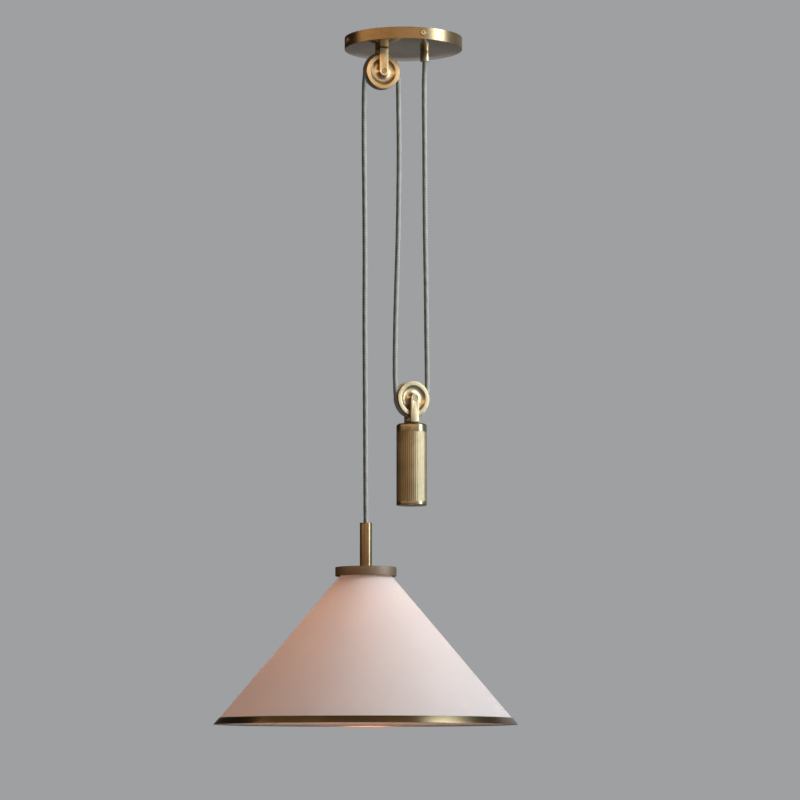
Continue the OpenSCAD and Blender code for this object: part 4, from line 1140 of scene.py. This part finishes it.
def add_floor(colours):
    """Plain floor, as light as the backdrop to the camera, darker in the brass, clear from below."""
    bm = bmesh.new()
    bmesh.ops.create_circle(bm, cap_ends=True, radius=FLOOR_R, segments=96)
    bmesh.ops.translate(bm, verts=bm.verts, vec=(0, 0, FLOOR_Z))
    material, tree, shader = new_material("floor")
    cloud = stretched_noise(tree, object_place(tree), (1.5, 1.5, 1.5), 3)
    pale = tuple(colours.floor)
    tinted = colour_mix(tree, remap(tree, cloud, 0, 1), shade_of(pale, 0.97), pale)
    tree.links.new(tinted, shader.inputs["Base Color"])
    shader.inputs["Roughness"].default_value = 0.9
    rays = add_node(tree, "ShaderNodeLightPath").outputs
    tone = (*colours.backdrop, 1)
    lit = add_node(tree, "ShaderNodeEmission", {
        "Color": tone, "Strength": maths(tree, "MULTIPLY", rays["Is Camera Ray"], FLOOR_LEVEL)})
    seen = add_node(tree, "ShaderNodeAddShader", {0: shader.outputs[0], 1: lit.outputs[0]})
    mirrored = add_node(tree, "ShaderNodeEmission", {"Color": tone, "Strength": MIRRORED_FLOOR_LEVEL})
    shown = add_node(tree, "ShaderNodeMixShader", {
        0: rays["Is Glossy Ray"], 1: seen.outputs[0], 2: mirrored.outputs[0]})
    under = add_node(tree, "ShaderNodeNewGeometry").outputs["Backfacing"]
    clear = add_node(tree, "ShaderNodeBsdfTransparent")
    mix = add_node(tree, "ShaderNodeMixShader", {0: under, 1: shown.outputs[0], 2: clear.outputs[0]})
    tree.links.new(mix.outputs[0], tree.nodes["Material Output"].inputs["Surface"])
    stage_object("floor", bm, material)


def mirror_card(name, bm, colour, strength):
    """Card that only metal sees, as beside a product on a set."""
    material, tree, shader = new_material(name)
    shader.inputs["Base Color"].default_value = (0, 0, 0, 1)
    shader.inputs["Specular IOR Level"].default_value = 0
    shader.inputs["Emission Color"].default_value = (*colour, 1)
    shader.inputs["Emission Strength"].default_value = strength
    card = stage_object(name, bm, material)
    card.visible_camera = False
    card.visible_diffuse = False
    card.visible_shadow = False
    card.visible_transmission = False


def curved_card(name, radius, first, last, low, high, colour, strength):
    """Upright card round the pendant; first and last are degrees to the right of the camera."""
    bm = bmesh.new()
    start = from_camera(math.radians(first)) * radius
    ends = [bm.verts.new((start.x, start.y, height)) for height in (low, high)]
    edge = bm.edges.new(ends)
    bmesh.ops.spin(bm, geom=[*ends, edge], cent=(0, 0, 0), axis=(0, 0, 1), dvec=(0, 0, 0),
                   angle=math.radians(last - first), steps=32)
    mirror_card(name, bm, colour, strength)


def add_cards():
    """What the brass mirrors: dark at the left, warm wall above the lens, dark loft."""
    curved_card("dark_card", DARK_CARD_R, first=-12, last=-165, low=-3.5, high=3,
                colour=(1.0, 0.86, 0.7), strength=0.025)
    curved_card("warm_card", WARM_CARD_R, first=44, last=-96, low=0.35, high=0.95,
                colour=(1.0, 0.66, 0.36), strength=5)
    bm = bmesh.new()
    bmesh.ops.create_circle(bm, cap_ends=True, radius=LOFT_R, segments=64)
    bmesh.ops.translate(bm, verts=bm.verts, vec=(0, 0, LOFT_Z))
    mirror_card("loft_card", bm, (1.0, 0.88, 0.75), 0.08)


# ---- Operators ----

class PENDANT_OT_stage(bpy.types.Operator):
    """Camera, window light, bulb light, backdrop, floor and the cards that the brass mirrors"""

    bl_idname = "pendant.stage"
    bl_label = "Stage"

    def execute(self, context):
        studio, colours = context.scene.pendant_studio, context.scene.pendant_colours
        context.scene.view_settings.view_transform = "Standard"
        add_camera(studio)
        add_lights(studio, colours)
        add_world(studio, colours)
        add_floor(colours)
        add_cards()
        return {"FINISHED"}


class PENDANT_OT_cords(bpy.types.Operator):
    """Braided cord in its seven stretches"""

    bl_idname = "pendant.cords"
    bl_label = "Cords"

    def execute(self, context):
        make_cords()
        return {"FINISHED"}


class PENDANT_OT_canopy(bpy.types.Operator):
    """Canopy dish, mounting plate, terminal block and cord grip"""

    bl_idname = "pendant.canopy"
    bl_label = "Canopy"

    def execute(self, context):
        make_canopy()
        return {"FINISHED"}


class PENDANT_OT_pulleys(bpy.types.Operator):
    """Both wheels and both yokes"""

    bl_idname = "pendant.pulleys"
    bl_label = "Pulleys"

    def execute(self, context):
        make_wheels()
        make_yokes()
        return {"FINISHED"}


class PENDANT_OT_weight(bpy.types.Operator):
    """Counterweight with its collar, caps and fluted shell"""

    bl_idname = "pendant.weight"
    bl_label = "Counterweight"

    def execute(self, context):
        make_weight()
        make_weight_shell()
        return {"FINISHED"}


class PENDANT_OT_stem(bpy.types.Operator):
    """Stem tube and disc cap"""

    bl_idname = "pendant.stem"
    bl_label = "Stem and cap"

    def execute(self, context):
        make_stem()
        return {"FINISHED"}


class PENDANT_OT_shade(bpy.types.Operator):
    """Linen cone, its joint and the brass rim"""

    bl_idname = "pendant.shade"
    bl_label = "Shade"

    def execute(self, context):
        make_linen()
        make_rim()
        return {"FINISHED"}


class PENDANT_OT_lamp(bpy.types.Operator):
    """Lampholder and opal bulb"""

    bl_idname = "pendant.lamp"
    bl_label = "Lampholder and bulb"

    def execute(self, context):
        make_lampholder()
        make_bulb()
        return {"FINISHED"}


class PENDANT_OT_small_parts(bpy.types.Operator):
    """Finishes of screws, nuts, axles, bushes and wires"""

    bl_idname = "pendant.small_parts"
    bl_label = "Small parts"

    def execute(self, context):
        finish_small_parts()
        return {"FINISHED"}


PIECE_OPERATORS = (
    PENDANT_OT_stage, PENDANT_OT_cords, PENDANT_OT_canopy, PENDANT_OT_pulleys, PENDANT_OT_weight,
    PENDANT_OT_stem, PENDANT_OT_shade, PENDANT_OT_lamp, PENDANT_OT_small_parts,
)


class PENDANT_PT_panel(bpy.types.Panel):
    """Sizes, colours and steps of the pendant"""

    bl_idname = "PENDANT_PT_panel"
    bl_label = "Rise and Fall Pendant"
    bl_space_type = "VIEW_3D"
    bl_region_type = "UI"
    bl_category = "Pendant"

    def draw(self, context):
        scene = context.scene
        for group in (scene.pendant_sizes, scene.pendant_colours, scene.pendant_studio):
            box = self.layout.box()
            for name in group.bl_rna.properties.keys():
                if name not in {"rna_type", "name"}:
                    box.prop(group, name)
        for operator in PIECE_OPERATORS:
            self.layout.operator(operator.bl_idname)


PROPERTY_GROUPS = {
    "pendant_sizes": PendantSizes,
    "pendant_colours": PendantColours,
    "pendant_studio": PendantStudio,
}


CLASSES = (*PROPERTY_GROUPS.values(), *PIECE_OPERATORS, PENDANT_PT_panel)


def register():
    for kind in CLASSES:
        bpy.utils.register_class(kind)
    for name, group in PROPERTY_GROUPS.items():
        setattr(bpy.types.Scene, name, bpy.props.PointerProperty(type=group))


def unregister():
    for name in PROPERTY_GROUPS:
        delattr(bpy.types.Scene, name)
    for kind in reversed(CLASSES):
        bpy.utils.unregister_class(kind)


def main():
    """Makes every piece in order."""
    register()
    for operator in PIECE_OPERATORS:
        group, name = operator.bl_idname.split(".")
        getattr(getattr(bpy.ops, group), name)()


if __name__ == "__main__":
    main()
